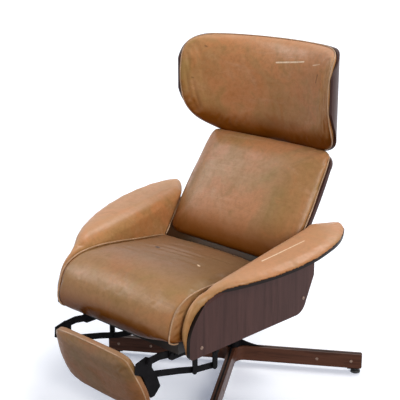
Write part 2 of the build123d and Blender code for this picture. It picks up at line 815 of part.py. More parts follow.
# The arm's upholstery is a thick pad over the wing and a lining down the panel's inner face.
pad_sections = (
    (lining_x + 4, -440, 56, 4), (272, -424, 58, 10), (300, -375, 78, arm_crown),
    (340, -314, 80, arm_crown), (376, -234, 44, 11), (396, -160, -20, 5),
)
with BuildPart() as arm_pad:
    for x, front, rear, rise in pad_sections:
        with BuildSketch(side_plane(x)):
            with BuildLine():
                base_front = (front, edge_height(front) - wing_t / 2)
                base_rear = (rear, wing_top(rear) - wing_t / 2)
                top_front = (front + 40, wing_top(front + 40) + rise)
                top_rear = (rear - 90, wing_top(rear - 90) + rise)
                Line(base_rear, base_front)
                middle = base_front[1] + (top_front[1] - base_front[1]) * 0.66
                ThreePointArc(base_front, (front + 10, middle), top_front)
                Line(top_front, top_rear)
                ThreePointArc(top_rear, (rear - 26, wing_top(rear - 26) + rise * 0.5), base_rear)
            make_face()
    loft()
    with BuildSketch(plan_plane(panel_bottom)):
        with BuildLine():
            wing_outline()
        make_face()
    extrude(amount=2 * wing_rear[1], mode=Mode.INTERSECT)
    with BuildSketch(side_plane(panel_x - ply_t)):
        with BuildLine():
            low_front, low_rear = wing_line(wing_t / 2)
            Polyline(low_rear, (low_rear[0], panel_bottom), (low_front[0], panel_bottom), low_front)
        make_face()
    extrude(amount=wing_half_reach, mode=Mode.SUBTRACT)
    with BuildPart(mode=Mode.PRIVATE) as lining:
        with BuildSketch(side_plane(lining_x - 4)):
            with BuildLine():
                Line((-30, 264), (panel_front + 4, 258))
                Line((panel_front + 4, 258), (panel_front - 6, 316))
                ThreePointArc((panel_front - 6, 316), (-452, 388), (-400, wing_top(-400) + 4))
                Line((-400, wing_top(-400) + 4), (46, wing_top(46) - 6))
                Line((46, wing_top(46) - 6), (36, 400))
                Line((36, 400), (-2, 290))
                Line((-2, 290), (-30, 264))
            make_face()
        extrude(amount=panel_x - lining_x)
        with BuildSketch(plan_plane(panel_bottom)):
            with BuildLine():
                Polyline(
                    (lining_x, panel_front - 8), (lining_x, -200), (back_half_w + 4, -110),
                    (back_half_w + 5, 10), (panel_x - ply_t, 28), (panel_x, 34), (panel_x, -430),
                    (panel_x - ply_t, panel_front - 8), close=True,
                )
            make_face()
        extrude(amount=wing_rear[1], mode=Mode.INTERSECT)
        with BuildSketch(side_plane(0)):
            with Locations(front_bolt, rear_bolt):
                Circle(spacer_r)
        extrude(amount=panel_x, mode=Mode.SUBTRACT)
    add(lining.part)
    add(arm_shell.part, mode=Mode.SUBTRACT)
save(arm_pad, "arm_pad_left")
save_mirrored(arm_pad, "arm_pad_right")

panel_inner = panel_x - ply_t
with BuildPart() as arm_spacers:
    for start, spot in ((box_half_w, front_bolt), (bracket_face, rear_bolt)):
        with BuildSketch(side_plane(start)):
            with Locations(spot):
                Circle(spacer_r)
                Circle(arm_bolt_r, mode=Mode.SUBTRACT)
        extrude(amount=panel_inner - start)
    mirror(arm_spacers.part, about=Plane.YZ)
save(arm_spacers, "arm_spacers")

with BuildPart() as arm_bolts:
    bolt_start = box_half_w - box_rail
    round_bar(bolt_start, panel_x, arm_bolt_r, [front_bolt])
    round_bar(rail_x - 3, panel_x, arm_bolt_r, [rear_bolt])
    round_bar(panel_x, panel_x + arm_bolt_head_t, arm_bolt_head_r, [front_bolt, rear_bolt])
    round_bar(rail_x - 3, rail_x, arm_bolt_head_r, [rear_bolt])
    round_bar(bolt_start - 3, bolt_start, arm_bolt_head_r, [front_bolt])
    mirror(arm_bolts.part, about=Plane.YZ)
save(arm_bolts, "arm_bolts")

# ---- back ----


def back_outline(inset, foot):
    # Front view of the back: gently bowed sides, rounded top corners and a straight lower edge.
    side = back_half_w - inset
    top = back_head - inset
    bottom = foot + inset
    Line((-side + 34, top), (side - 34, top))
    Line((-side + 24, bottom), (side - 24, bottom))
    for way in (1, -1):
        ThreePointArc((way * (side - 34), top), (way * (side - 17), top - 12), (way * (side - 9), top - 42))
        ThreePointArc((way * (side - 9), top - 42), (way * side, 30), (way * (side - 7), bottom + 20))
        ThreePointArc(
            (way * (side - 7), bottom + 20), (way * (side - 12), bottom + 8), (way * (side - 24), bottom),
        )


with BuildPart() as back_shell:
    with BuildSketch(back_plane(-back_t)):
        with BuildLine():
            back_outline(0, back_foot)
        make_face()
    extrude(amount=back_t)
save(back_shell, "back_shell")

with BuildPart() as back_cushion:
    for offset, inset in ((0, 5), (10, 8), (28, 26), (back_crown, 76)):
        with BuildSketch(back_plane(offset)):
            with BuildLine():
                back_outline(inset, back_cushion_foot)
            make_face()
    loft()
save(back_cushion, "back_cushion")

flange_w = 30.0
flange_x = rail_x + bracket_t + bar_gap      # inner face of the straps that carry the back
screw_rows_back = (-90.0, 0.0, 90.0)
with BuildPart() as back_strap:
    with BuildSketch(side_plane(flange_x)):
        with BuildLine():
            Polyline(
                back_point(back_foot + 6, -back_t), back_point(120, -back_t), back_point(120, -back_t - 8),
                back_point(-60, -back_t - 26), back_point(-144, -back_t - 29), (hinge_y - 14, hinge_z + 4),
                close=True,
            )
        make_face()
        with Locations(hinge):
            Circle(hinge_eye_r)
            Circle(hinge_pin_r + running, mode=Mode.SUBTRACT)
    extrude(amount=bar_t)
    with BuildSketch(back_plane(-back_t)):
        with Locations((flange_x - flange_w / 2 + bar_t, 0)):
            Rectangle(flange_w, 230)
        with Locations(*[(flange_x - flange_w / 2, row) for row in screw_rows_back]):
            Circle(footrest_screw_r, mode=Mode.SUBTRACT)
    extrude(amount=-tab_t)
save(back_strap, "back_strap_left")
save_mirrored(back_strap, "back_strap_right")

with BuildPart() as hinge_pins:
    round_bar(rail_x, flange_x + bar_t + 0.3, hinge_pin_r, [hinge])
    round_bar(rail_x - 3, rail_x, hinge_pin_r + 3, [hinge])
    round_bar(flange_x + bar_t + 0.3, flange_x + bar_t + 3, hinge_pin_r + 3, [hinge])
    mirror(hinge_pins.part, about=Plane.YZ)
save(hinge_pins, "hinge_pins")

# ---- headrest ----

head_centre_y = head_rear_y - head_depth


def head_front_view():
    # Front view of the headrest: small round top corners, large round lower corners.
    side = head_half_w + head_shell_t
    Line((head_top_r - side, head_top_z), (side - head_top_r, head_top_z))
    Line((head_foot_r - side, head_foot_z), (side - head_foot_r, head_foot_z))
    for way in (1, -1):
        Line((way * side, head_foot_z + head_foot_r), (way * side, head_top_z - head_top_r))
        upper = (way * side, head_top_z - head_top_r)
        lower = (way * side, head_foot_z + head_foot_r)
        RadiusArc(upper, (way * (side - head_top_r), head_top_z), -way * head_top_r)
        RadiusArc((way * (side - head_foot_r), head_foot_z), lower, -way * head_foot_r)


def head_side_view():
    # Side view of the headrest: its ends round off at the top and sweep far back at the foot.
    rear = head_rear_y + 2 * head_shell_t
    front = head_centre_y - 5
    ThreePointArc((front + 96, head_top_z), (front + 37, head_top_z - 27), (front, head_top_z - 100))
    ThreePointArc((front, head_top_z - 100), (front + 2, head_top_z - 158), (front + 26, head_top_z - 214))
    foot = (front + 130, head_foot_z)
    ThreePointArc((front + 26, head_top_z - 214), (front + 68, head_top_z - 266), foot)
    Polyline(foot, (rear, head_foot_z), (rear, head_top_z), (front + 96, head_top_z))


front_plane = Plane(origin=(0, swivel_y + head_rear_y + 60, 0), x_dir=(1, 0, 0), z_dir=(0, -1, 0))
head_reach = 2 * head_depth + 60
with BuildPart() as headrest_shell:
    with BuildSketch(Plane(origin=(0, swivel_y + head_centre_y, head_foot_z))):
        Ellipse(head_half_w + head_shell_t, head_depth + head_shell_t)
        Ellipse(head_half_w, head_depth, mode=Mode.SUBTRACT)
        with Locations((0, -head_depth)):
            Rectangle(3 * head_half_w, 2 * head_depth, mode=Mode.SUBTRACT)
    extrude(amount=head_top_z - head_foot_z)
    with BuildSketch(front_plane):
        with BuildLine():
            head_front_view()
        make_face()
    extrude(amount=head_reach, mode=Mode.INTERSECT)
    with BuildSketch(side_plane(-head_half_w - head_depth)):
        with BuildLine():
            head_side_view()
        make_face()
    extrude(amount=2 * (head_half_w + head_depth), mode=Mode.INTERSECT)
save(headrest_shell, "headrest_shell")

with BuildPart() as headrest_cushion:
    with BuildSketch(Plane(origin=(0, swivel_y + head_centre_y, head_foot_z))):
        Ellipse(head_half_w, head_depth)
        Ellipse(head_half_w - head_pad_end, head_depth - head_pad, mode=Mode.SUBTRACT)
        with Locations((0, -head_depth)):
            Rectangle(3 * head_half_w, 2 * head_depth, mode=Mode.SUBTRACT)
    extrude(amount=head_top_z - head_foot_z)
    with BuildSketch(front_plane):
        with BuildLine():
            head_front_view()
        make_face()
    extrude(amount=head_reach, mode=Mode.INTERSECT)
    with BuildSketch(side_plane(-head_half_w - head_depth)):
        with BuildLine():
            head_side_view()
        make_face()
    extrude(amount=2 * (head_half_w + head_depth), mode=Mode.INTERSECT)
save(headrest_cushion, "headrest_cushion")

plate_x = 58.0
plate_w = 36.0
plate_t = 4.0
shell_rear_y = head_rear_y + head_shell_t
with BuildPart() as headrest_plate:
    with BuildSketch(side_plane(plate_x - plate_w / 2)):
        with BuildLine() as jog:
            Polyline(
                back_point(130, -back_t - plate_t / 2), back_point(back_head - 16, -back_t - plate_t / 2),
                (shell_rear_y - 8, head_foot_z - 13), (shell_rear_y + 1, head_foot_z - 4),
                (shell_rear_y + 1, head_foot_z + 100),
            )
        trace(jog.line, line_width=plate_t)
    extrude(amount=plate_w)
    add(headrest_shell.part, mode=Mode.SUBTRACT)
save(headrest_plate, "headrest_plate_left")
save_mirrored(headrest_plate, "headrest_plate_right")

with BuildPart() as back_screws:
    strap_spots = [(way * (flange_x - flange_w / 2), row) for way in (1, -1) for row in screw_rows_back]
    with BuildSketch(back_plane(-back_t - tab_t)):
        with Locations(*strap_spots):
            Circle(footrest_screw_r)
    extrude(amount=tab_t)
    with BuildSketch(back_plane(-back_t - tab_t)):
        with Locations(*strap_spots):
            Circle(footrest_screw_r * 2)
    extrude(amount=-1.6)
save(back_screws, "back_screws")
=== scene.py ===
import math

import bmesh
import bpy
import numpy as np
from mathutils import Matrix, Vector


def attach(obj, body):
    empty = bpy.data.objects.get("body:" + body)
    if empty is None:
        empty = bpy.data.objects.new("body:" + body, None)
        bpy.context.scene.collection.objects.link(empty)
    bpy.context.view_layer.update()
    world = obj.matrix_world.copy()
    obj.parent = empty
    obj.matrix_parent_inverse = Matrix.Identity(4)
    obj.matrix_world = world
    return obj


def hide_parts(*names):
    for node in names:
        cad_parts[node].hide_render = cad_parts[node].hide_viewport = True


# Lengths in this script are millimetres about the swivel axis, x to the sitter's left, y to the rear, z up.
# place() turns them into the frame's metres. Colours are linear.

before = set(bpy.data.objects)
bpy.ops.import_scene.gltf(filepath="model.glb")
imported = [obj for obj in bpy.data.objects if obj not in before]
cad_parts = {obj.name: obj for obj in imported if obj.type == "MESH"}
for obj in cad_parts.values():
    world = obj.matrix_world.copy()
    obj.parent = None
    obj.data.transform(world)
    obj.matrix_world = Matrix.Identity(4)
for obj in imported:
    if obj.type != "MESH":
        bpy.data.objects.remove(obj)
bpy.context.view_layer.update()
scene = bpy.context.scene
SWIVEL_Y = 120.8  # the swivel axis is this far behind the frame's origin
SHIFT = np.array([0, SWIVEL_Y, 0])


def place(x, y, z):
    return Vector((x / 1000, (y + SWIVEL_Y) / 1000, z / 1000))


# ---------------------------------------------------------------- curves and meshes

CLOTH_FRAMES = 20
MELT_FOOT, MELT_FADE = 20, 12


def smooth(points, count, closed=False):
    """A Catmull-Rom curve through the points, as `count` points evenly spaced along it."""
    p = np.array(points, float)
    if closed:
        p = np.vstack([p[-1], p, p[0], p[1]])
    else:
        p = np.vstack([2 * p[0] - p[1], p, 2 * p[-1] - p[-2]])
    fine = []
    t = np.linspace(0, 1, 24, endpoint=False)[:, None]
    for a, b, c, d in zip(p, p[1:], p[2:], p[3:]):
        square = 2 * a - 5 * b + 4 * c - d
        cube = 3 * b - a - 3 * c + d
        fine.append(0.5 * (2 * b + (c - a) * t + square * t**2 + cube * t**3))
    fine = np.vstack(fine + [p[-2][None]])
    run = np.concatenate([[0], np.cumsum(np.linalg.norm(np.diff(fine, axis=0), axis=1))])
    at = np.linspace(0, run[-1], count + 1)[:-1] if closed else np.linspace(0, run[-1], count)
    return np.stack([np.interp(at, run, fine[:, k]) for k in range(p.shape[1])], axis=1)


def follow(table, at):
    """Value at `at` on a smooth curve through (place, value) pairs with rising places."""
    c = smooth(table, 400)
    return np.interp(at, c[:, 0], c[:, 1])


def soften(mesh):
    """Shades the mesh smoothly."""
    for face in mesh.polygons:
        face.use_smooth = True


def linked(name, data):
    """A new object of the scene that shows the data."""
    thing = bpy.data.objects.new(name, data)
    scene.collection.objects.link(thing)
    return thing


def mesh_object(name, points, faces):
    mesh = bpy.data.meshes.new(name)
    mesh.from_pydata([place(*p) for p in points], [], faces)
    mesh.validate()
    mesh.update()
    soften(mesh)
    return linked(name, mesh)


def dropped(piece):
    """Deletes a piece with its mesh."""
    mesh = piece.data
    bpy.data.objects.remove(piece)
    bpy.data.meshes.remove(mesh)


def skin(rings, points=None, faces=None):
    """Points and faces of a closed skin over rings with the same number of points, its first and last
    rings closed by a fan."""
    points = [] if points is None else points
    faces = [] if faces is None else faces
    start = len(points)
    n = len(rings[0])
    for ring in rings:
        points.extend(tuple(p) for p in ring)
    for k in range(len(rings) - 1):
        a = start + k * n
        for i in range(n):
            j = (i + 1) % n
            faces.append((a + i, a + j, a + n + j, a + n + i))
    for ring, base, turn in ((rings[0], start, -1), (rings[-1], start + (len(rings) - 1) * n, 1)):
        points.append(tuple(np.mean(np.array(ring), axis=0)))
        hub = len(points) - 1
        for i in range(n):
            j = (i + 1) % n
            faces.append((base + i, base + j, hub)[::turn])
    return points, faces


def outward(piece):
    """Turns all faces of a closed piece outwards."""
    shape = bmesh.new()
    shape.from_mesh(piece.data)
    bmesh.ops.recalc_face_normals(shape, faces=shape.faces)
    if shape.calc_volume(signed=True) < 0:
        bmesh.ops.reverse_faces(shape, faces=shape.faces)
    shape.to_mesh(piece.data)
    shape.free()
    return piece


def get_points(piece):
    flat = np.empty(len(piece.data.vertices) * 3)
    piece.data.vertices.foreach_get("co", flat)
    return flat.reshape(-1, 3)


def set_points(piece, points):
    piece.data.vertices.foreach_set("co", np.ascontiguousarray(points).ravel())
    piece.data.update()


def local_points(piece):
    """The piece's points in the script's millimetres, one a row."""
    return get_points(piece) * 1000 - SHIFT


def frozen(piece):
    """Applies the piece's modifiers to its mesh."""
    graph = bpy.context.evaluated_depsgraph_get()
    graph.update()
    mesh = bpy.data.meshes.new_from_object(piece.evaluated_get(graph))
    piece.modifiers.clear()
    old = piece.data
    piece.data = mesh
    mesh.name = piece.name
    bpy.data.meshes.remove(old)
    soften(mesh)


def carved(piece, tool):
    """Takes the tool's volume out of the piece."""
    cut = piece.modifiers.new("cut", "BOOLEAN")
    cut.object = tool
    cut.operation = "DIFFERENCE"
    cut.solver = "EXACT"
    frozen(piece)
    dropped(tool)


def pressed(piece, folds):
    """Presses creases into a surface and raises a slight swell beside them. Each fold is
    (from, to, width, depth) with two (x, y, z) places."""
    p = local_points(piece)
    normals = np.empty(len(p) * 3)
    piece.data.vertices.foreach_get("normal", normals)
    normals = normals.reshape(-1, 3)
    deep = np.zeros(len(p))
    for a, b, width, depth in folds:
        a, b = np.array(a, float), np.array(b, float)
        run = b - a
        t = np.clip((p - a) @ run / (run @ run), 0, 1)
        gap = np.linalg.norm(p - a - t[:, None] * run, axis=1)
        ends = np.clip(np.minimum(t, 1 - t) * 4, 0, 1)
        deep -= depth * np.exp(-(gap / width) ** 2) * (0.25 + 0.75 * ends)
        deep += 0.35 * depth * np.exp(-((gap - 2 * width) / width) ** 2) * ends
    p += normals * deep[:, None]
    set_points(piece, (p + SHIFT) / 1000)


def relaxed(piece, turns, free=0.5, steps=(1, -1.02)):
    """Evens the surface: each step moves every point by its share `free` towards the middle of its
    neighbours, and a negative step moves it back, so that the piece doesn't shrink."""
    mesh = piece.data
    edges = np.empty(len(mesh.edges) * 2, int)
    mesh.edges.foreach_get("vertices", edges)
    edges = edges.reshape(-1, 2)
    p = get_points(piece)
    count = np.bincount(edges.ravel(), minlength=len(p))[:, None]
    for _ in range(turns):
        for step in steps:
            total = np.zeros_like(p)
            np.add.at(total, edges[:, 0], p[edges[:, 1]])
            np.add.at(total, edges[:, 1], p[edges[:, 0]])
            p = p + free * step * (total / np.maximum(count, 1) - p)
    set_points(piece, p)


def melted(piece, turns, depth):
    """Softens the creases of a crown. Points less than MELT_FOOT above the cushion's foot stay, and
    the next MELT_FADE of height move less."""
    high = np.clip((depth(local_points(piece)) - MELT_FOOT) / MELT_FADE, 0, 1)
    relaxed(piece, turns, 0.5 * high[:, None], (1,))


def remeshed(piece, voxel):
    mod = piece.modifiers.new("even", "REMESH")
    mod.mode = "VOXEL"
    mod.voxel_size = voxel / 1000
    mod.use_smooth_shade = True
    frozen(piece)


def stuffed(piece, pressure, cap, held):
    """Swells the piece under inner pressure by nearly `cap` at most; `held` tells the points that lie
    on something hard."""
    before = get_points(piece)
    group = piece.vertex_groups.new(name="held")
    fixed = np.nonzero(held(local_points(piece)))[0]
    group.add([int(i) for i in fixed], 1.0, "REPLACE")
    cloth = piece.modifiers.new("cover", "CLOTH")
    cloth.settings.vertex_group_mass = "held"
    cloth.settings.use_pressure = True
    cloth.settings.uniform_pressure_force = pressure
    cloth.settings.effector_weights.gravity = 0
    cloth.settings.quality = 5
    cloth.settings.tension_stiffness = 12
    cloth.settings.compression_stiffness = 12
    cloth.settings.shear_stiffness = 4
    cloth.settings.bending_stiffness = 0.6
    cloth.settings.mass = 0.3
    cloth.collision_settings.use_collision = False
    cloth.point_cache.frame_start = 1
    cloth.point_cache.frame_end = CLOTH_FRAMES
    for step in range(1, CLOTH_FRAMES + 1):
        scene.frame_set(step)
    frozen(piece)
    scene.frame_set(1)
    move = get_points(piece) - before
    far = np.maximum(np.linalg.norm(move, axis=1, keepdims=True), 1e-9)
    limit = cap / 1000
    set_points(piece, before + move * limit / far * np.tanh(far / limit))
    piece.vertex_groups.clear()


def refined(piece):
    mod = piece.modifiers.new("finish", "SUBSURF")
    mod.levels = 1
    mod.render_levels = 1
    frozen(piece)


def tube(name, route, radius, closed=False):
    """A round cord mesh along a route of (x, y, z) points. An open one narrows at its two ends."""
    route = np.array(route, float)
    n = len(route)
    sides = 10
    if closed:
        ahead = np.roll(route, -1, axis=0) - np.roll(route, 1, axis=0)
    else:
        ahead = np.gradient(route, axis=0)
    ahead /= np.linalg.norm(ahead, axis=1, keepdims=True)
    side = np.cross(ahead[0], [0, 0, 1])
    if np.linalg.norm(side) < 0.2:
        side = np.cross(ahead[0], [0, 1, 0])
    side /= np.linalg.norm(side)
    sides_at = []
    for t in ahead:
        side = side - np.dot(side, t) * t
        side /= np.linalg.norm(side)
        sides_at.append(side)
    rings = []
    for k in range(n):
        up = np.cross(ahead[k], sides_at[k])
        r = radius if closed else radius * min(1, 0.35 + min(k, n - 1 - k) / 2)
        a = np.linspace(0, 2 * math.pi, sides, endpoint=False)
        rings.append(route[k] + r * (np.outer(np.cos(a), sides_at[k]) + np.outer(np.sin(a), up)))
    points, faces = [], []
    if closed:
        for ring in rings:
            points.extend(tuple(p) for p in ring)
        # The last ring may meet the first turned round the cord by some steps.
        gaps = [np.linalg.norm(np.roll(rings[0], -s, axis=0) - rings[-1]) for s in range(sides)]
        turn = int(np.argmin(gaps))
        for k in range(n):
            for i in range(sides):
                j = (i + 1) % sides
                a, b = k * sides, (k + 1) % n * sides
                s = turn if k == n - 1 else 0
                faces.append((a + i, a + j, b + (j + s) % sides, b + (i + s) % sides))
    else:
        skin(rings, points, faces)
    return outward(mesh_object(name, points, faces))


def joined(name, *pieces):
    """One piece made of several."""
    whole = bmesh.new()
    for piece in pieces:
        whole.from_mesh(piece.data)
        dropped(piece)
    mesh = bpy.data.meshes.new(name)
    whole.to_mesh(mesh)
    whole.free()
    soften(mesh)
    return linked(name, mesh)


# ---------------------------------------------------------------- materials


class Shade:
    """A material and a short way to add nodes to it."""

    def __init__(self, name):
        self.material = bpy.data.materials.new(name)
        self.material.use_nodes = True
        self.tree = self.material.node_tree
        self.tree.nodes.clear()
        self.shader = self.node("ShaderNodeBsdfPrincipled")
        self.link(self.shader.outputs[0], self.node("ShaderNodeOutputMaterial").inputs["Surface"])
        self.coord = self.node("ShaderNodeTexCoord")

    def node(self, kind, **settings):
        node = self.tree.nodes.new(kind)
        for key, value in settings.items():
            setattr(node, key, value)
        return node

    def link(self, a, b):
        self.tree.links.new(a, b)

    def feed(self, value, socket):
        if hasattr(value, "links"):
            self.link(value, socket)
        else:
            socket.default_value = value

    def where(self, stretch=(1, 1, 1), shift=(0, 0, 0)):
        node = self.node("ShaderNodeMapping")
        self.link(self.coord.outputs["Object"], node.inputs["Vector"])
        node.inputs["Scale"].default_value = stretch
        node.inputs["Location"].default_value = shift
        return node.outputs[0]

    def noise(self, scale, detail=3.0, rough=0.55, at=None, distort=0.0):
        node = self.node("ShaderNodeTexNoise")
        node.inputs["Scale"].default_value = scale
        node.inputs["Detail"].default_value = detail
        node.inputs["Roughness"].default_value = rough
        node.inputs["Distortion"].default_value = distort
        self.link(at if at is not None else self.coord.outputs["Object"], node.inputs["Vector"])
        return node.outputs["Fac"]

    def ramp(self, fac, stops):
        node = self.node("ShaderNodeValToRGB")
        ramp = node.color_ramp
        ramp.interpolation = "EASE"
        while len(ramp.elements) < len(stops):
            ramp.elements.new(0.5)
        for element, (spot, colour) in zip(ramp.elements, stops):
            element.position = spot
            element.color = (*colour, 1)
        self.link(fac, node.inputs[0])
        return node.outputs[0]

    def spread(self, value, low, high, to_low=0.0, to_high=1.0, soft=True):
        node = self.node("ShaderNodeMapRange")
        node.interpolation_type = "SMOOTHSTEP" if soft else "LINEAR"
        self.feed(value, node.inputs["Value"])
        for key, v in (("From Min", low), ("From Max", high), ("To Min", to_low), ("To Max", to_high)):
            node.inputs[key].default_value = v
        return node.outputs[0]

    def mix(self, fac, a, b):
        node = self.node("ShaderNodeMix", data_type="RGBA")
        self.feed(fac, node.inputs[0])
        for value, socket in ((a, node.inputs[6]), (b, node.inputs[7])):
            if isinstance(value, tuple) and len(value) == 3:
                value = (*value, 1)
            self.feed(value, socket)
        return node.outputs[2]

    def math(self, how, a, b=0.0, c=0.0):
        node = self.node("ShaderNodeMath", operation=how)
        for value, socket in zip((a, b, c), node.inputs):
            self.feed(value, socket)
        return node.outputs[0]

    def axis(self, vector, name):
        node = self.node("ShaderNodeSeparateXYZ")
        self.link(vector, node.inputs[0])
        return node.outputs[name]

    def bump(self, height, strength, distance, below=None):
        node = self.node("ShaderNodeBump")
        node.inputs["Strength"].default_value = strength
        node.inputs["Distance"].default_value = distance / 1000
        self.link(height, node.inputs["Height"])
        if below is not None:
            self.link(below, node.inputs["Normal"])
        return node.outputs[0]

    def stroke(self, a, b, width, wobble):
        """Mask of a fine line on the surface from a to b, both (x, y, z) millimetres."""
        start, end = place(*a), place(*b)
        run = end - start
        away = self.node("ShaderNodeVectorMath", operation="SUBTRACT")
        self.link(self.coord.outputs["Object"], away.inputs[0])
        away.inputs[1].default_value = start
        along = self.node("ShaderNodeVectorMath", operation="DOT_PRODUCT")
        self.link(away.outputs[0], along.inputs[0])
        along.inputs[1].default_value = run / run.length_squared
        part = self.spread(along.outputs["Value"], 0, 1, soft=False)
        foot = self.node("ShaderNodeVectorMath", operation="SCALE")
        foot.inputs[0].default_value = run
        self.link(part, foot.inputs["Scale"])
        gap = self.node("ShaderNodeVectorMath", operation="DISTANCE")
        self.link(away.outputs[0], gap.inputs[0])
        self.link(foot.outputs[0], gap.inputs[1])
        ragged = self.spread(self.noise(90, 2), 0.3, 0.7, -wobble / 1000, wobble / 1000)
        far = self.math("ADD", gap.outputs["Value"], ragged)
        return self.spread(far, width / 2000, width / 800, 1, 0)


TAN_CLOUDS = ((0.30, (0.350, 0.208, 0.068)), (0.46, (0.430, 0.220, 0.086)), (0.60, (0.510, 0.218, 0.086)),
              (0.76, (0.500, 0.262, 0.130)))
OLIVE = (0.300, 0.165, 0.050)
ORANGE = (0.580, 0.240, 0.092)
BLEACHED = (0.600, 0.345, 0.195)
UMBER = (0.270, 0.132, 0.042)
FLECKS = (0.230, 0.105, 0.032)
# Painted shade for faces that turn down, and painted light for faces that turn up.
PAINTED_SHADE_BELOW = (0.230, 0.066, 0.004)
PAINTED_LIGHT_ABOVE = (0.620, 0.350, 0.215)
SCRATCH = (0.90, 0.70, 0.50)
STAIN = (0.035, 0.014, 0.008)
SHADED = (0.185, 0.052, 0.003)
SEAT_SHADED = (0.170, 0.090, 0.043)


def leather(name, shift, strokes=(), spots=(), tone=1.0, low=0.86, painted_top_light=0.34, painted_shade_ramps=()):
    """Worn tan leather, mottled in olive, tan and orange, with painted light on faces that turn up and
    painted shade, a dark richer brown, on faces that turn down. `tone` darkens it all, `low` and
    `painted_top_light` are the strengths of the painted shade below and the painted light on top.
    `painted_shade_ramps` holds (axis, start, end, strength, colour) of painted shade that grows slowly along
    an axis, in the frame's metres, and strokes and spots are light and dark marks as marks() gives them."""
    s = Shade(name)
    moved = s.where(shift=shift)
    cloud = s.noise(4.6, 4, 0.6, moved, 0.7)
    blotch = s.noise(15, 5, 0.64, moved, 0.9)
    fleck = s.noise(70, 6, 0.72, moved)
    drawn = s.noise(8, 6, 0.66, s.where((0.5, 3.4, 3.4), shift), 0.5)

    def c(colour):
        return tuple(v * tone for v in colour)

    tan = s.ramp(cloud, [(spot, c(colour)) for spot, colour in TAN_CLOUDS])
    tan = s.mix(s.spread(blotch, 0.50, 0.72, 0, 0.60), tan, c(OLIVE))
    tan = s.mix(s.spread(blotch, 0.48, 0.28, 0, 0.50), tan, c(ORANGE))
    tan = s.mix(s.spread(drawn, 0.54, 0.74, 0, 0.42), tan, c(BLEACHED))
    tan = s.mix(s.spread(drawn, 0.46, 0.28, 0, 0.34), tan, c(UMBER))
    tan = s.mix(s.spread(fleck, 0.42, 0.64, 0, 0.26), tan, c(FLECKS))
    # Painted shade on faces that turn down, and painted light on faces that turn up.
    facing_up = s.axis(s.coord.outputs["Normal"], "Z")
    up = s.math("ADD", facing_up, s.spread(blotch, 0.3, 0.7, -0.10, 0.10))
    tan = s.mix(s.spread(up, 0.22, -0.60, 0, low), tan, c(PAINTED_SHADE_BELOW))
    tan = s.mix(s.spread(up, 0.40, 1.0, 0, painted_top_light), tan, c(PAINTED_LIGHT_ABOVE))
    # Painted shade that grows along an axis: towards a cushion's lower edge, and on the seat towards the
    # rear.
    for axis, start, end, strength, colour in painted_shade_ramps:
        along = s.axis(s.coord.outputs["Object"], axis)
        reach = s.math("ADD", along, s.spread(cloud, 0.3, 0.7, -0.012, 0.012))
        tan = s.mix(s.spread(reach, start, end, 0, strength), tan, colour)
    for a, b, width, strength in strokes:
        broken = s.spread(fleck, 0.35, 0.55, strength * 0.6, strength)
        tan = s.mix(s.math("MULTIPLY", s.stroke(a, b, width, 0.3), broken), tan, SCRATCH)
    for a, b, width, strength in spots:
        tan = s.mix(s.math("MULTIPLY", s.stroke(a, b, width, 0.8), strength), tan, STAIN)
    s.link(tan, s.shader.inputs["Base Color"])
    wear = s.math("ADD", s.math("MULTIPLY", fleck, 0.5), s.math("MULTIPLY", blotch, 0.5))
    s.link(s.spread(wear, 0.35, 0.65, 0.30, 0.46), s.shader.inputs["Roughness"])
    s.link(s.spread(up, -0.55, 0.30, 0.015, 0.22), s.shader.inputs["Specular IOR Level"])
    s.shader.inputs["Coat Weight"].default_value = 0.05
    s.shader.inputs["Coat Roughness"].default_value = 0.22
    pores = s.node("ShaderNodeTexVoronoi", feature="DISTANCE_TO_EDGE")
    pores.inputs["Scale"].default_value = 620
    s.link(moved, pores.inputs["Vector"])
    grain = s.bump(pores.outputs["Distance"], 0.22, 0.25)
    rough = s.bump(s.noise(210, 4, 0.6, moved), 0.20, 0.5, grain)
    s.link(s.bump(drawn, 0.34, 3.0, rough), s.shader.inputs["Normal"])
    return s.material


def piping_leather():
    s = Shade("piping")
    base = s.ramp(s.noise(22, 4, 0.6), ((0.35, (0.330, 0.185, 0.090)), (0.55, (0.450, 0.270, 0.150)),
                                        (0.70, (0.560, 0.350, 0.215))))
    worn = s.spread(s.noise(160, 4, 0.7), 0.45, 0.7, 0, 0.45)
    s.link(s.mix(worn, base, (0.20, 0.095, 0.04)), s.shader.inputs["Base Color"])
    s.link(s.spread(s.noise(60, 3), 0.3, 0.7, 0.36, 0.52), s.shader.inputs["Roughness"])
    s.link(s.bump(s.noise(420, 4), 0.3, 0.3), s.shader.inputs["Normal"])
    return s.material


EDGE_BLACK = (0.014, 0.009, 0.008)
BENT_UP_GRAIN = (60, 60, 3.2)
BOARD_GRAIN = (60, 8, 6)
LEG_GRAIN = (7, 7, 110)


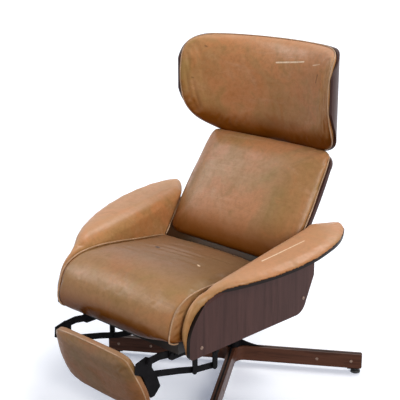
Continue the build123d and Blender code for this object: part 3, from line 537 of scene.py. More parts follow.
def veneer(name, dark, light, grain, rim=None, sheen=0.16, edge_axis=None):
    """Walnut veneer; `grain` is how much the pattern is squeezed along x, y and z. Faces that turn away
    from `edge_axis` are nearly black, in fine streaks. `rim` is (slope, height, step): above a plane that
    rises towards the rear, less the step, the veneer is black; slope by length, the others in metres."""
    s = Shade(name)
    fine = s.noise(1.0, 6, 0.62, s.where(grain), 0.5)
    wide = s.noise(1.0, 4, 0.6, s.where(tuple(g * 0.16 for g in grain)), 1.2)
    pores = s.noise(1.0, 2, 0.5, s.where(tuple(g * 9 if g > 20 else g * 7 for g in grain)))
    middle = tuple((a + b) / 2 for a, b in zip(dark, light))
    wood = s.ramp(wide, ((0.32, dark), (0.52, middle), (0.70, light)))
    wood = s.mix(s.spread(fine, 0.48, 0.68, 0, 0.6), wood, tuple(c * 0.55 for c in dark))
    wood = s.mix(s.spread(fine, 0.45, 0.30, 0, 0.35), wood, tuple(c * 1.25 for c in light))
    wood = s.mix(s.spread(pores, 0.60, 0.72, 0, 0.55), wood, tuple(c * 0.4 for c in dark))
    if edge_axis:
        facing = s.math("ABSOLUTE", s.axis(s.coord.outputs["Normal"], edge_axis))
        plies = s.noise(1.0, 2, 0.5, s.where((900, 900, 900)))
        edge = s.ramp(plies, ((0.40, (0.003, 0.002, 0.002)), (0.60, (0.012, 0.007, 0.005))))
        wood = s.mix(s.spread(facing, 0.75, 0.55), wood, edge)
    if rim:
        slope, height, step = rim
        plane = s.math("MULTIPLY_ADD", s.axis(s.coord.outputs["Object"], "Y"), slope, height)
        above = s.math("SUBTRACT", s.axis(s.coord.outputs["Object"], "Z"), plane)
        wood = s.mix(s.spread(above, step, step + 0.0006), wood, EDGE_BLACK)
    s.link(wood, s.shader.inputs["Base Color"])
    s.link(s.spread(fine, 0.3, 0.7, 0.30, 0.42), s.shader.inputs["Roughness"])
    s.shader.inputs["Specular IOR Level"].default_value = sheen
    s.link(s.bump(pores, 0.12, 0.25, s.bump(fine, 0.10, 0.4)), s.shader.inputs["Normal"])
    return s.material


def painted_steel():
    s = Shade("black_steel")
    paint = s.ramp(s.noise(34, 5, 0.6), ((0.35, (0.0020, 0.0018, 0.0022)), (0.65, (0.0060, 0.0052, 0.0060))))
    worn = s.spread(s.noise(140, 6, 0.72), 0.62, 0.74, 0, 0.5)
    s.link(s.mix(worn, paint, (0.030, 0.022, 0.018)), s.shader.inputs["Base Color"])
    s.link(s.spread(s.noise(60, 4), 0.3, 0.7, 0.36, 0.55), s.shader.inputs["Roughness"])
    s.shader.inputs["Specular IOR Level"].default_value = 0.06
    s.link(s.bump(s.noise(520, 3), 0.15, 0.2), s.shader.inputs["Normal"])
    return s.material


def turned_steel():
    s = Shade("bright_steel")
    rings = s.noise(1.0, 4, 0.6, s.where((30, 30, 900)))
    metal = s.ramp(rings, ((0.35, (0.36, 0.35, 0.34)), (0.65, (0.62, 0.61, 0.60))))
    s.link(metal, s.shader.inputs["Base Color"])
    s.shader.inputs["Metallic"].default_value = 1.0
    s.link(s.spread(s.noise(90, 4), 0.3, 0.7, 0.24, 0.42), s.shader.inputs["Roughness"])
    s.link(s.bump(s.noise(1.0, 3, 0.5, s.where((60, 60, 1500))), 0.1, 0.1), s.shader.inputs["Normal"])
    return s.material


def old_brass():
    s = Shade("old_brass")
    base = s.ramp(s.noise(260, 4, 0.6), ((0.35, (0.13, 0.075, 0.050)), (0.65, (0.38, 0.25, 0.185))))
    s.link(base, s.shader.inputs["Base Color"])
    s.shader.inputs["Metallic"].default_value = 0.1
    s.link(s.spread(s.noise(300, 3), 0.3, 0.7, 0.35, 0.55), s.shader.inputs["Roughness"])
    s.link(s.bump(s.noise(700, 2), 0.1, 0.1), s.shader.inputs["Normal"])
    return s.material


def plastic(name, dark, light):
    s = Shade(name)
    s.link(s.ramp(s.noise(55, 5, 0.65), ((0.35, dark), (0.68, light))), s.shader.inputs["Base Color"])
    s.link(s.spread(s.noise(130, 4), 0.3, 0.7, 0.38, 0.58), s.shader.inputs["Roughness"])
    s.link(s.bump(s.noise(700, 2), 0.2, 0.15), s.shader.inputs["Normal"])
    return s.material


def near_black_wood():
    """Solid wood, nearly black."""
    s = Shade("frame_wood")
    lines = s.noise(1.0, 5, 0.6, s.where((4, 90, 90)), 0.4)
    wood = s.ramp(lines, ((0.32, (0.010, 0.007, 0.005)), (0.55, (0.018, 0.012, 0.009)),
                          (0.72, (0.028, 0.019, 0.013))))
    pores = s.spread(s.noise(1.0, 3, 0.5, s.where((40, 700, 700))), 0.58, 0.7, 0, 0.5)
    s.link(s.mix(pores, wood, (0.006, 0.004, 0.003)), s.shader.inputs["Base Color"])
    s.link(s.spread(lines, 0.3, 0.7, 0.48, 0.62), s.shader.inputs["Roughness"])
    s.link(s.bump(lines, 0.15, 0.4), s.shader.inputs["Normal"])
    return s.material


def woven_webbing():
    s = Shade("webbing")
    threads = []
    for direction in "XY":
        wave = s.node("ShaderNodeTexWave", wave_type="BANDS", bands_direction=direction)
        wave.inputs["Scale"].default_value = 160
        wave.inputs["Distortion"].default_value = 1.2
        s.link(s.coord.outputs["Object"], wave.inputs["Vector"])
        threads.append(wave.outputs["Fac"])
    weave = s.math("MAXIMUM", *threads)
    colour = s.ramp(weave, ((0.2, (0.055, 0.042, 0.028)), (0.8, (0.235, 0.180, 0.115))))
    s.link(colour, s.shader.inputs["Base Color"])
    s.link(s.spread(s.noise(200, 3), 0.3, 0.7, 0.72, 0.90), s.shader.inputs["Roughness"])
    s.link(s.bump(weave, 0.6, 0.8), s.shader.inputs["Normal"])
    return s.material


WALNUT_DARK = (0.047, 0.0185, 0.0150)
WALNUT_LIGHT = (0.082, 0.0340, 0.0280)
# The arm's wing rises towards the rear: 430 mm high at 385 mm before the swivel axis.
WING_SLOPE = 83 / 485
WING_Y, WING_Z = -385, 430
wing_rim = (WING_SLOPE, (WING_Z - (WING_Y + SWIVEL_Y) * WING_SLOPE) / 1000, -0.0093)
finishes = {
    "arm": veneer("veneer_arm", WALNUT_DARK, WALNUT_LIGHT, BENT_UP_GRAIN, wing_rim, edge_axis="X"),
    "back": veneer("veneer_back", WALNUT_DARK, WALNUT_LIGHT, BOARD_GRAIN),
    "head": veneer("veneer_head", WALNUT_DARK, (0.070, 0.026, 0.020), BENT_UP_GRAIN),
    "board": veneer("veneer_board", WALNUT_DARK, WALNUT_LIGHT, BOARD_GRAIN),
    "leg": veneer("veneer_leg", (0.060, 0.0210, 0.0110), (0.125, 0.0480, 0.0270), LEG_GRAIN, sheen=0.14),
    "steel": painted_steel(),
    "bright": turned_steel(),
    "brass": old_brass(),
    "glide": plastic("glide_plastic", (0.010, 0.010, 0.010), (0.030, 0.029, 0.028)),
    "bearing": plastic("bearing_plastic", (0.36, 0.34, 0.29), (0.52, 0.50, 0.44)),
    "wood": near_black_wood(),
    "webbing": woven_webbing(),
}
dressed_nodes = {
    "arm": ("arm_shell_left", "arm_shell_right"),
    "back": ("back_shell",),
    "head": ("headrest_shell",),
    "board": ("footrest_board",),
    "wood": ("seat_frame",),
    "webbing": ("seat_webbing",),
    "bright": ("swivel_post", "retaining_clip", "hinge_pins"),
    "brass": ("leg_bolts", "arm_bolts"),
    "bearing": ("lower_bush", "upper_bush", "thrust_washer"),
}
looks = {name: look for look, names in dressed_nodes.items() for name in names}
for name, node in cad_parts.items():
    if name.startswith("leg_strip"):
        look = "leg"
    elif name.startswith("glide_"):
        look = "glide"
    else:
        look = looks.get(name, "steel")
    node.data.materials.clear()
    node.data.materials.append(finishes[look])

# ---------------------------------------------------------------- cushions


def mirrored(half, end, count):
    """A closed outline from its half on the side of +u; `end` is its other place on the middle line."""
    return smooth(half + [(0, end)] + [(-u, v) for u, v in reversed(half[1:])], count, closed=True)


def pillow(outline, profile, centre, surface):
    """Rings of a cushion: from the middle of its rear face over its edge to the middle of its crown.
    `profile` holds (inset, height) pairs; between them and the middle the rings shrink evenly."""
    centre = np.array(centre)
    reach = np.linalg.norm(outline - centre, axis=1, keepdims=True)

    def ring(inset, share, height):
        flat = centre + (outline - centre) * np.maximum(1 - inset / reach, 0.02) * share
        return [surface(u, v, height) for u, v in flat]

    first, last = profile[0], profile[-1]
    rings = [ring(first[0], share, first[1]) for share in (0.12, 0.5, 0.85)]
    rings += [ring(inset, 1, height) for inset, height in profile]
    rings += [ring(last[0], 1 - k / 5.4, last[1]) for k in range(1, 6)]
    return rings


def closed_piece(name, rings):
    return outward(mesh_object(name, *skin(rings)))


# ---------------------------------------------------------------- headrest

# The shell's inner face is an ellipse in plan, with these half axes about (0, HEAD_Y).
HEAD_A, HEAD_B, HEAD_Y = 297.5, 145.0, 61.0
HEAD_CROWN = 12
turns = np.linspace(0, 1.8, 721)
arc_step = np.hypot(HEAD_A * np.cos(turns), HEAD_B * np.sin(turns))
arc_run = np.concatenate([[0], np.cumsum((arc_step[1:] + arc_step[:-1]) / 2 * np.diff(turns))])


def head_arc(turn):
    """Length along the ellipse from its middle to the turn, in radians."""
    return float(np.interp(turn, turns, arc_run))


def head_point(u, z, n):
    """Place on the headrest: u along the shell's inner face from its middle, z up, n inwards."""
    t = math.copysign(float(np.interp(abs(u), arc_run, turns)), u)
    inward = np.array([-HEAD_B * math.sin(t), -HEAD_A * math.cos(t)])
    inward /= np.linalg.norm(inward)
    return (HEAD_A * math.sin(t) + n * inward[0], HEAD_Y + HEAD_B * math.cos(t) + n * inward[1], z)


def head_depth(p):
    """Height over the curved face of the headrest."""
    share = np.hypot(p[:, 0] / HEAD_A, (p[:, 1] - HEAD_Y) / HEAD_B)
    return (1 - share) * HEAD_B


def head_swell(u, z, n):
    """The cushion is thinner towards its ends, and its middle rises in one soft crown."""
    end = min(1, abs(u) / head_arc(1.55))
    crown = (1 - end**2) * max(0, 1 - ((z - 840) / 165) ** 2)
    return head_point(u, z, n * (1 - 0.34 * end**2) + HEAD_CROWN * crown * np.clip(n / 30, 0, 1))


def head_held(p):
    inside = np.hypot(p[:, 0] / (HEAD_A - 4), (p[:, 1] - HEAD_Y) / (HEAD_B - 4))
    return inside > 0.985


head_half = [(0, 672)] + [(head_arc(turn), z) for turn, z in (
    (0.28, 673), (0.52, 683), (0.80, 700), (1.17, 735), (1.45, 785), (1.57, 844), (1.58, 898),
    (1.52, 944), (1.38, 976), (1.15, 992), (0.86, 1000.5), (0.4, 1002))]
head_line = mirrored(head_half, 1002, 260)
HEAD_MIDDLE = 850
head_profile = [(8, 0.5), (3, 0.9), (0.5, 3.5), (-1.0, 8), (-0.5, 14), (2, 20), (7, 26.5), (15, 31.5),
                (27, 36), (42, 39), (60, 41), (82, 42), (106, 42.5)]
head_rings = pillow(head_line, head_profile, (0, HEAD_MIDDLE), head_swell)
head_cushion = closed_piece("headrest_cushion_soft", head_rings)
remeshed(head_cushion, 5)
melted(head_cushion, 34, head_depth)
stuffed(head_cushion, 2.0, 6, head_held)
relaxed(head_cushion, 4)
refined(head_cushion)
welt = [head_point(u * 1.002, HEAD_MIDDLE + (z - HEAD_MIDDLE) * 1.004, 5) for u, z in head_line]
head_piping = tube("headrest_piping", welt, 2.1, closed=True)

# ---------------------------------------------------------------- back

LEAN = math.radians(33.5)
BACK_Y, BACK_Z = 24, 485
BACK_CROWN = 12


def back_point(u, v, n):
    """Place on the back: u across, v up its front face, n forwards."""
    y = BACK_Y + v * math.sin(LEAN) - n * math.cos(LEAN)
    return (u, y, BACK_Z + v * math.cos(LEAN) + n * math.sin(LEAN))


def back_depth(p):
    """Height over the back's front face."""
    return (BACK_Y - p[:, 1]) * math.cos(LEAN) + (p[:, 2] - BACK_Z) * math.sin(LEAN)


def back_swell(u, v, n):
    """The middle rises in one soft crown."""
    crown = max(0, 1 - (u / 250) ** 2) * max(0, 1 - ((v - 71) / 186) ** 2)
    return back_point(u, v, n + BACK_CROWN * crown * np.clip(n / 26, 0, 1))


back_half = [(0, 256), (120, 255), (196, 254), (224, 249), (237, 232), (242, 200), (244, 160), (248, 100),
             (250, 30), (249, -40), (245, -80), (233, -101), (204, -111), (120, -113)]
back_line = mirrored(back_half, -113, 280)
back_profile = [(6, 0.5), (1.5, 1.5), (0, 5), (0.5, 9), (3, 14), (8, 19.5), (17, 25), (30, 29.5), (48, 32.5),
                (70, 34), (96, 34.5)]
back_cushion = closed_piece("back_cushion_soft", pillow(back_line, back_profile, (0, 50), back_swell))
remeshed(back_cushion, 6)
melted(back_cushion, 60, back_depth)
stuffed(back_cushion, 2.5, 8, lambda p: back_depth(p) < 3)
melted(back_cushion, 18, back_depth)
relaxed(back_cushion, 4)
refined(back_cushion)

side_line = smooth([(222, 247), (236, 232), (242, 196), (245, 140), (249.5, 80), (251, 20), (251, -60),
                    (250, -128)], 90)
welts = [tube("welt", [back_point(side * u, v, 4.5) for u, v in side_line], 2.3) for side in (-1, 1)]
back_piping = joined("back_piping", *welts)

# Leather over the shell below the cushion, which shows beside its round lower corners.
cover_rings = []
for n, inset in ((0.3, 0.0), (3.2, 0.0), (3.6, 1.0)):
    side, corner, low = 251 - inset, 250 - inset, inset - 128
    foot = [(-side, -50), (-corner, low), (0, low - 3), (corner, low), (side, -50), (0, -50)]
    cover_rings.append([back_point(u, v, n) for u, v in smooth(foot, 120, closed=True)])
# Its leather is nearly black: painted shade of the fold between seat and back.
back_cover = closed_piece("back_foot_cover", cover_rings)

# ---------------------------------------------------------------- footrest

TUCK = math.radians(20.6)
PAD_Y, PAD_Z = -561, 220


def pad_point(u, v, n):
    """Place on the footrest: u across, v down its face from its pivot's height, n forwards."""
    y = PAD_Y + v * math.sin(TUCK) - n * math.cos(TUCK)
    return (u, y, PAD_Z - v * math.cos(TUCK) - n * math.sin(TUCK))


def pad_depth(p):
    """Height over the footrest's face."""
    return (PAD_Y - p[:, 1]) * math.cos(TUCK) + (PAD_Z - p[:, 2]) * math.sin(TUCK)


pad_half = [(0, -38), (70, -37.5), (128, -34), (148, -26), (158, -6), (165, 20), (172, 50), (175, 76),
            (174, 100), (165, 130), (146, 149), (120, 158), (88, 162), (44, 165)]
pad_line = mirrored(pad_half, 166, 220)
pad_profile = [(6, -13.8), (2, -13.4), (0.3, -11), (-0.3, -6), (-0.3, -1), (0.6, 3.5), (3, 7.5), (8, 10.6),
               (17, 13), (32, 14.3), (52, 14.6)]
PAD_MIDDLE = np.array([0, 62])
footrest_pad = closed_piece("footrest_pad_soft", pillow(pad_line, pad_profile, PAD_MIDDLE, pad_point))
# The board sits in a pocket of the pad's rear face, smaller than the pad all round.
BOARD_SHARE = 1 - 11.4 / 176
BOARD_MIDDLE = np.array([0, 64])
board_line = BOARD_MIDDLE + (pad_line - BOARD_MIDDLE) * BOARD_SHARE
pocket = [[pad_point(u, v, n) for u, v in board_line] for n in (-30, -5.7)]
carved(footrest_pad, closed_piece("pocket", pocket))
remeshed(footrest_pad, 3.6)
stuffed(footrest_pad, 2.0, 4, lambda p: pad_depth(p) < -1)
relaxed(footrest_pad, 3)
refined(footrest_pad)
route = [pad_point(*spot, 2.5) for spot in PAD_MIDDLE + (pad_line - PAD_MIDDLE) * 0.997]
footrest_piping = tube("footrest_piping", route, 1.7, closed=True)

# ---------------------------------------------------------------- seat

SEAT_X = 231.0  # half the width between the welts
SEAT_FOOT = 251
SEAT_CROWN = 12.5
HEM = 16  # height of the strip of the cover's lower edge that rises with the hem
# Side view of the seat as (y, z): round the front and over the top, then down the rear and forwards.
welt_side = [(-444, 251.5), (-464, 254), (-481, 263), (-493, 281), (-499, 303), (-494, 333), (-481, 369),
             (-461, 392), (-416, 412), (-344, 418), (-262, 412), (-192, 403), (-76, 390)]
rear_side = [(-72, 384), (-70, 330), (-73, 262), (-84, 251.5), (-120, 251), (-300, 251), (-428, 251)]
seat_loop = np.vstack([smooth(welt_side, 120), smooth(rear_side, 60)])
seat_centre = np.array([-270, 335])


def seat_hem(x):
    """How far the cover's lower edge is drawn up at the front: a little at one side, more at the other."""
    near = np.clip((x - 60) / 170, 0, 1)
    far = np.clip((-x - 190) / 45, 0, 1)
    return 37 * near * near * (3 - 2 * near) + 10 * far * far


def seat_ring_at(x, inset, crown):
    """Side-view ring of the seat at x; `crown` lifts the top and pushes out the front, `inset` draws the
    ring in."""
    away = seat_loop - seat_centre
    reach = np.linalg.norm(away, axis=1, keepdims=True)
    ring = seat_loop - away / reach * inset
    y, z = seat_loop.T
    front = np.clip((-350 - y) / 110, 0, 1)
    up = crown * np.clip((z - 290) / 90, 0, 1) ** 1.2 * (1 - 0.45 * front)
    out = crown * front * np.clip((z - 290) / 60, 0, 1) * 0.35
    back = crown * 1.1 * front * np.clip((300 - z) / 45, 0, 1)
    low = seat_hem(x) * np.clip((-290 - y) / 90, 0, 1)
    lifted = SEAT_FOOT + low + np.maximum(ring[:, 1] - SEAT_FOOT, 0) * HEM / (low + HEM)
    ring[:, 1] = np.where(ring[:, 1] < SEAT_FOOT + low + HEM, lifted, ring[:, 1])
    return [(x, y - o + b, z + u) for (y, z), u, o, b in zip(ring, up, out, back)]


def seat_flank(side):
    """Rings that close the seat's side, from its middle outwards."""
    rings = []
    outer = np.array(seat_ring_at(side * 236.5, 26, 0))[:, 1:]
    for share in (0.25, 0.6, 0.85):
        rings.append([(side * 236.5, y, z) for y, z in seat_centre + (outer - seat_centre) * share])
    for x, inset in ((236.5, 26), (236, 14), (234, 6), (231.5, 1.5)):
        rings.append(seat_ring_at(side * x, inset, 0))
    return rings


def seat_held(p):
    well_inside = (np.abs(p[:, 0]) < 225) & (p[:, 1] > -458) & (p[:, 1] < -72) & (p[:, 2] < 309)
    return well_inside | (p[:, 2] < 256)


rings = seat_flank(-1)
for x in np.linspace(-SEAT_X, SEAT_X, 45):
    rings.append(seat_ring_at(x, 0, SEAT_CROWN * (1 - abs(x / SEAT_X) ** 2.2)))
rings += reversed(seat_flank(1))
seat_cushion = closed_piece("seat_cushion_soft", rings)
# The cushion is hollow below, where the seat frame stands in it.
well_plan = ((-222.8, -455.8), (222.8, -455.8), (222.8, -74.2), (-222.8, -74.2))
carved(seat_cushion, closed_piece("well", [[(x, y, z) for x, y in well_plan] for z in (200, 306.8)]))
remeshed(seat_cushion, 5)
stuffed(seat_cushion, 2.2, 5, seat_held)
relaxed(seat_cushion, 8)
refined(seat_cushion)
seat_folds = [((-120, -225, 418), (95, -205, 418), 9, 2.2), ((-150, -262, 423), (60, -238, 424), 8, 1.8),
              ((-70, -300, 428), (140, -262, 426), 10, 2.4), ((-20, -332, 431), (150, -306, 430), 8, 1.7),
              ((-165, -318, 428), (-60, -322, 430), 7, 1.3), ((20, -190, 413), (170, -170, 408), 9, 1.6),
              ((-100, -180, 411), (20, -160, 409), 10, 1.4)]
for x in (-236, 236):
    seat_folds += [((x, -482, 330), (x, -452, 352), 4, 1.4), ((x, -488, 308), (x, -455, 322), 4, 1.2),
                   ((x, -470, 368), (x, -440, 376), 4, 1.3)]
pressed(seat_cushion, seat_folds)
welts = [tube("welt", seat_ring_at(x, 0, 0)[4:120], 2.2) for x in (-233.5, 233.5)]
seat_piping = joined("seat_piping", *welts)

# ---------------------------------------------------------------- arms

# Plan of the wing at the sitter's left: its outer edge, and the inner edge where it rounds to the tail.
outer_y = [-446, -431, -398, -368, -320, -277, -237, -171, -107, -49, 7, 46, 65, 76, 82, 84.5]
outer_x = [263, 266, 281, 302, 334, 356, 374, 393, 401, 399.5, 390, 371, 359, 348, 337, 330]
TAIL_Y = 30
inner_y = [-480, -300, -90, TAIL_Y, 45, 60, 72, 80, 84.5]
inner_edge = [250.5, 252, 258.6, 259.6, 274, 290, 304, 316, 326]
PLY_X = 265.6  # the plywood side's inner face

# The plywood's front edge as (y, z), and the upholstery's height over it towards the front.
front_edge = [(-467, 290), (-463, 322), (-449, 351), (-430, 375), (-410, 396), (-390, 414), (-368, 429.5),
              (-335, 438.6), (-300, 444.6)]
front_rise = [(-445, 34), (-427, 31), (-410, 24), (-395, 18), (-375, 15), (-350, 14.5), (-320, 15.5)]


def ply_top(y):
    """Upper face of the arm's plywood."""
    return np.where(y < -335, follow(front_edge, y), WING_Z + (y - WING_Y) * WING_SLOPE)


def inner_x(y):
    return float(np.interp(y, inner_y, inner_edge))


def arm_section(y):
    """Cross-section of the arm's crown at y: from the plywood's outer edge over the roll to the inner
    face, and back along the plywood."""
    xo = float(np.interp(y, outer_y, outer_x))
    xi = inner_x(y)
    z = float(ply_top(y))
    width = xo - xi
    rise = 15.5 * min(1.0, (width / 42) ** 0.55) if y > -320 else float(np.interp(y, *zip(*front_rise)))
    edge = min(15.0, width * 0.42)
    section = [(xo - 1.5, z + 0.2), (xo + 1.2, z - 1.6), (xo + 2.2, z + 0.5), (xo + 2.0, z + 0.30 * rise),
               (xo + 0.2, z + 0.56 * rise), (xo - 0.28 * edge, z + 0.76 * rise),
               (xo - 0.62 * edge, z + 0.90 * rise), (xo - edge, z + 0.98 * rise)]
    # A large roll on the sitter's side, flatter towards the tail.
    across = min(float(np.interp(y, [-300, -120], [40, 29])), 0.62 * width)
    down = rise + float(np.interp(y, [-420, -300, -120, 10, 34], [25, 21, 9, 8, 0]))
    section.append(((xo - edge + xi + across) / 2, z + rise * 1.05))
    for turn in (84, 68, 54, 42, 31, 21, 11, 3):
        a = math.radians(turn)
        section.append((xi + across * (1 - math.cos(a)), z + rise - down * (1 - math.sin(a))))
    foot = max(min(PLY_X, xo - 3), xi + 3)
    lined = y < 26  # here the crown runs down into the lining
    drop = 60 if lined else down - rise + 4
    section += [(xi, z - drop), (foot, z - drop), (foot, z - drop * (0.5 if lined else 0.1))]
    section += [(foot + (xo - 1.5 - foot) * k, z + 0.2) for k in (0.2, 0.5, 0.8)]
    return section


stations = [*np.linspace(-440, -400, 9), *np.linspace(-392, 20, 44), *np.linspace(28, 84.5, 19)]
crown_rings = [[(x, y, z) for x, z in arm_section(y)] for y in stations]

# Side view of the lining inside the plywood side, as (y, z).
front_line = [(-463, 258), (-469, 285), (-474.5, 312), (-471.5, 343), (-456, 380), (-428, 408), (-392, 421)]
top_line = [(y, float(ply_top(y)) - 16) for y in (-330, -240, -140, -40, 24)]
rear_line = [(32, 486), (34, 440), (30, 400), (14, 345), (-2, 300), (-22, 268), (-40, 258)]
lining_loop = np.vstack([smooth(front_line + top_line, 120), smooth(rear_line, 50)])


def lining_ring(inset, x_at):
    """The lining's outline drawn in by `inset`; x_at gives its x from y and z."""
    ahead = np.roll(lining_loop, -1, axis=0) - np.roll(lining_loop, 1, axis=0)
    ahead /= np.linalg.norm(ahead, axis=1, keepdims=True)
    inward = np.stack([ahead[:, 1], -ahead[:, 0]], axis=1)
    flip = np.sign(np.sum(inward * (lining_loop.mean(axis=0) - lining_loop)))
    return [(x_at(y, z), y, z) for y, z in lining_loop + inward * inset * flip]


def lining_face(depth):
    """The lining's inner face, `depth` below its middle: nearer to the panel towards the rear, and
    narrower towards its lower end."""
    def x_at(y, z):
        face = inner_x(min(y, TAIL_Y))
        return face + min(depth, PLY_X - 3 - face) + 4.5 * min(1, max(0, (335 - z) / 80))
    return x_at


lining_rings = [lining_ring(inset, lining_face(depth)) for inset, depth in (
    (30, 0.3), (12, 0.0), (7, 0.5), (4, 1.6), (1.5, 3.6), (0, 6.6))]
for inset, x in ((0, 262.0), (1.5, 264.4), (4, PLY_X), (30, PLY_X)):
    lining_rings.append(lining_ring(inset, lambda y, z: x))


def arm_held(p):
    z_ply = ply_top(p[:, 1])
    on_wing = (p[:, 0] > 267) & (p[:, 2] < z_ply + 3)
    return on_wing | (p[:, 0] > 262) & (p[:, 2] < z_ply - 4)


arm_left = outward(mesh_object("arm_pad_left_soft", *skin(lining_rings, *skin(crown_rings))))
remeshed(arm_left, 3)
stuffed(arm_left, 2.0, 3, arm_held)
relaxed(arm_left, 4)
refined(arm_left)
arm_right = linked("arm_pad_right_soft", arm_left.data.copy())
set_points(arm_right, get_points(arm_right) * [-1, 1, 1])
arm_right.data.flip_normals()

# ---------------------------------------------------------------- finishes and bodies


def landed(piece, near, toward):
    """Where the line through `near` along `toward` meets the piece, from 60 mm before that place."""
    start = place(*(p - 60 * t for p, t in zip(near, toward)))
    hit, spot, _, _ = piece.ray_cast(start, Vector(toward))
    assert hit, piece.name
    return tuple(np.array(spot) * 1000 - SHIFT)


def marks(piece, toward, lines):
    """Marks as (from, to, width, strength) with both places moved onto the surface along `toward`."""
    return [(landed(piece, a, toward), landed(piece, b, toward), *rest) for a, b, *rest in lines]


AHEAD, DOWN = (0, 1, 0), (0, 0, -1)
head_strokes = marks(head_cushion, AHEAD, [
    ((23, 152, 937), (62, 150, 942), 2.4, 0.85), ((62, 150, 942), (101, 144, 947), 2.6, 0.95),
    ((101, 144, 947), (139, 136, 953), 2.4, 0.95), ((184, 121, 949), (216, 108, 957), 2.0, 0.6)])
head_spots = marks(head_cushion, AHEAD, [
    ((-232, 97, 967), (-226, 98, 964), 2.6, 0.42), ((-261, 57, 868), (-256, 57, 866), 2.4, 0.40),
    ((214, 107, 927), (206, 112, 903), 2.2, 0.7)])
seat_strokes = marks(seat_cushion, DOWN, [((113, -272, 416), (125, -278, 416), 3.4, 0.95)])
seat_spots = marks(seat_cushion, DOWN, [((-82, -246, 416), (-75, -248, 416), 6.0, 0.9)])
arm_strokes = marks(arm_left, DOWN, [
    ((309, -224, 474), (317, -174, 484), 2.6, 0.85), ((317, -174, 484), (324, -125, 492), 2.4, 0.9),
    ((324, -125, 492), (331, -75, 499), 2.4, 0.75)])
# The axis lists below are painted shade: darker towards the lower edges of headrest, back and seat, and on
# the seat towards the rear, under the back.
hide = {
    "head": leather("leather_head", (0.0, 0.0, 0.0), head_strokes, head_spots, tone=1.02, low=0.95,
                    painted_shade_ramps=[("Z", 0.790, 0.705, 0.97, SHADED)]),
    "back": leather("leather_back", (3.1, 0.7, 1.9), tone=0.90, low=0.95, painted_top_light=0.05,
                    painted_shade_ramps=[("Z", 0.535, 0.415, 0.93, SHADED)]),
    "seat": leather("leather_seat", (1.3, 5.2, 0.4), seat_strokes, seat_spots, tone=0.82, low=0.9, painted_top_light=0.05,
                    painted_shade_ramps=[("Y", -0.37, -0.17, 0.80, SEAT_SHADED), ("Z", 0.370, 0.270, 0.95, SHADED)]),
    "arm": leather("leather_arm", (7.7, 2.1, 3.3), arm_strokes, tone=0.96, painted_top_light=0.45),
    "foot": leather("leather_foot", (4.4, 8.5, 6.1), tone=0.60, low=0.30),
    # Made nearly black by its tone: painted shade in the fold between seat and back.
    "fold": leather("leather_painted_shade_fold", (2.2, 6.5, 8.1), tone=0.11, low=0.20, painted_top_light=0.0),
}
cord = piping_leather()


def dress(piece, look, body, *nodes):
    """Gives the piece its look and body; a cushion also stands for its CAD nodes."""
    piece.data.materials.clear()
    piece.data.materials.append(look)
    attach(piece, body)
    if nodes:
        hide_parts(*nodes)


dress(head_cushion, hide["head"], "back", "headrest_cushion")
dress(head_piping, cord, "back")
dress(back_cushion, hide["back"], "back", "back_cushion")
dress(back_piping, cord, "back")
dress(back_cover, hide["fold"], "back")
dress(footrest_pad, hide["foot"], "footrest", "footrest_pad")
dress(footrest_piping, cord, "footrest")
dress(seat_cushion, hide["seat"], "carriage", "seat_cushion")
dress(seat_piping, cord, "carriage")
dress(arm_left, hide["arm"], "carriage", "arm_pad_left")
dress(arm_right, hide["arm"], "carriage", "arm_pad_right")

# ---------------------------------------------------------------- floor, light and camera


def floor_finish():
    """White where it is seen or mirrored, and grey as a source of light, so that it doesn't wash out
    the chair from below."""
    s = Shade("floor")
    pale = s.ramp(s.noise(0.8, 3), ((0.3, (0.93, 0.935, 0.95)), (0.7, (0.95, 0.95, 0.955))))
    s.shader.inputs["Roughness"].default_value = 0.75
    s.shader.inputs["Specular IOR Level"].default_value = 0.2
    ray = s.node("ShaderNodeLightPath").outputs
    mirrored_ray = s.math("MAXIMUM", ray["Is Glossy Ray"], ray["Is Transmission Ray"])
    seen = s.math("MAXIMUM", ray["Is Camera Ray"], mirrored_ray)
    s.link(s.mix(seen, (0.30, 0.31, 0.34), pale), s.shader.inputs["Base Color"])
    s.shader.inputs["Emission Color"].default_value = (0.70, 0.78, 1.0, 1)
    s.link(s.math("MULTIPLY", seen, 0.30), s.shader.inputs["Emission Strength"])
    return s.material


def floor_mesh(reach, steps):
    """A square grid, `reach` metres to each side."""
    mesh = bpy.data.meshes.new("floor")
    row = steps + 1
    at = [-reach + 2 * reach * i / steps for i in range(row)]
    corners = [j * row + i for j in range(steps) for i in range(steps)]
    faces = [(k, k + 1, k + row + 1, k + row) for k in corners]
    mesh.from_pydata([(x, y, 0) for y in at for x in at], [], faces)
    return mesh


floor = linked("floor", floor_mesh(60, 12))
floor.data.materials.append(floor_finish())


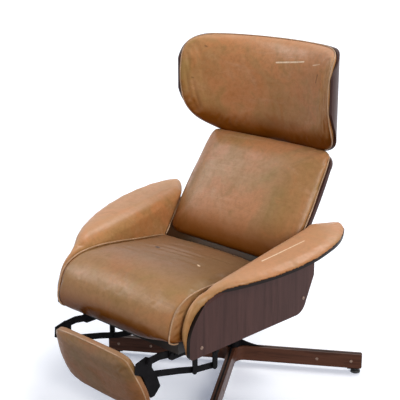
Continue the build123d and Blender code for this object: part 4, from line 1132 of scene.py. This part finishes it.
def studio():
    """A world that is white where it is seen or mirrored, and dimmer as a source of light."""
    world = bpy.data.worlds.new("studio")
    world.use_nodes = True
    tree = world.node_tree
    tree.nodes.clear()

    def background(colour, strength):
        node = tree.nodes.new("ShaderNodeBackground")
        node.inputs["Color"].default_value = colour
        node.inputs["Strength"].default_value = strength
        return node.outputs[0]

    def most(a, b):
        node = tree.nodes.new("ShaderNodeMath")
        node.operation = "MAXIMUM"
        tree.links.new(a, node.inputs[0])
        tree.links.new(b, node.inputs[1])
        return node.outputs[0]

    ray = tree.nodes.new("ShaderNodeLightPath").outputs
    blend = tree.nodes.new("ShaderNodeMixShader")
    mirrored_ray = most(ray["Is Glossy Ray"], ray["Is Transmission Ray"])
    tree.links.new(most(ray["Is Camera Ray"], mirrored_ray), blend.inputs[0])
    tree.links.new(background((0.93, 0.96, 1.0, 1), 0.24), blend.inputs[1])
    tree.links.new(background((1, 1, 1, 1), 1.0), blend.inputs[2])
    tree.links.new(blend.outputs[0], tree.nodes.new("ShaderNodeOutputWorld").inputs["Surface"])
    return world


def sun(name, toward, strength, spread, colour):
    lamp = bpy.data.lights.new(name, "SUN")
    lamp.energy = strength
    lamp.angle = math.radians(spread)
    lamp.color = colour
    thing = linked(name, lamp)
    thing.rotation_euler = Vector(toward).to_track_quat("Z", "Y").to_euler()
    thing.location = (0, 0, 4)


scene.world = studio()
sun("rear", (0.10, 0.50, 1.0), 1.45, 26, (1.0, 0.99, 0.97))
sun("left", (-1.0, -0.45, 0.75), 1.15, 28, (1.0, 0.99, 0.98))
sun("right", (1.0, -0.40, 0.52), 2.05, 26, (1.0, 0.985, 0.96))

# The camera was worked out from the photograph: it looks down by PITCH from TURN to the chair's left.
TURN, PITCH = math.radians(44.7), math.radians(16.5)
DISTANCE = 3.0655
AIM_SIDE, AIM_HEIGHT = 0.1047, 0.535
aim = Vector((-AIM_SIDE * math.cos(TURN), -AIM_SIDE * math.sin(TURN) + SWIVEL_Y / 1000, AIM_HEIGHT))
back = Vector((math.sin(TURN) * math.cos(PITCH), -math.cos(TURN) * math.cos(PITCH), math.sin(PITCH)))
lens = bpy.data.cameras.new("camera")
lens.sensor_width = 36
lens.lens = 91.395
camera = linked("camera", lens)
camera.location = aim + back * DISTANCE
camera.rotation_euler = (-back).to_track_quat("-Z", "Y").to_euler()
scene.camera = camera
scene.view_settings.view_transform = "Standard"

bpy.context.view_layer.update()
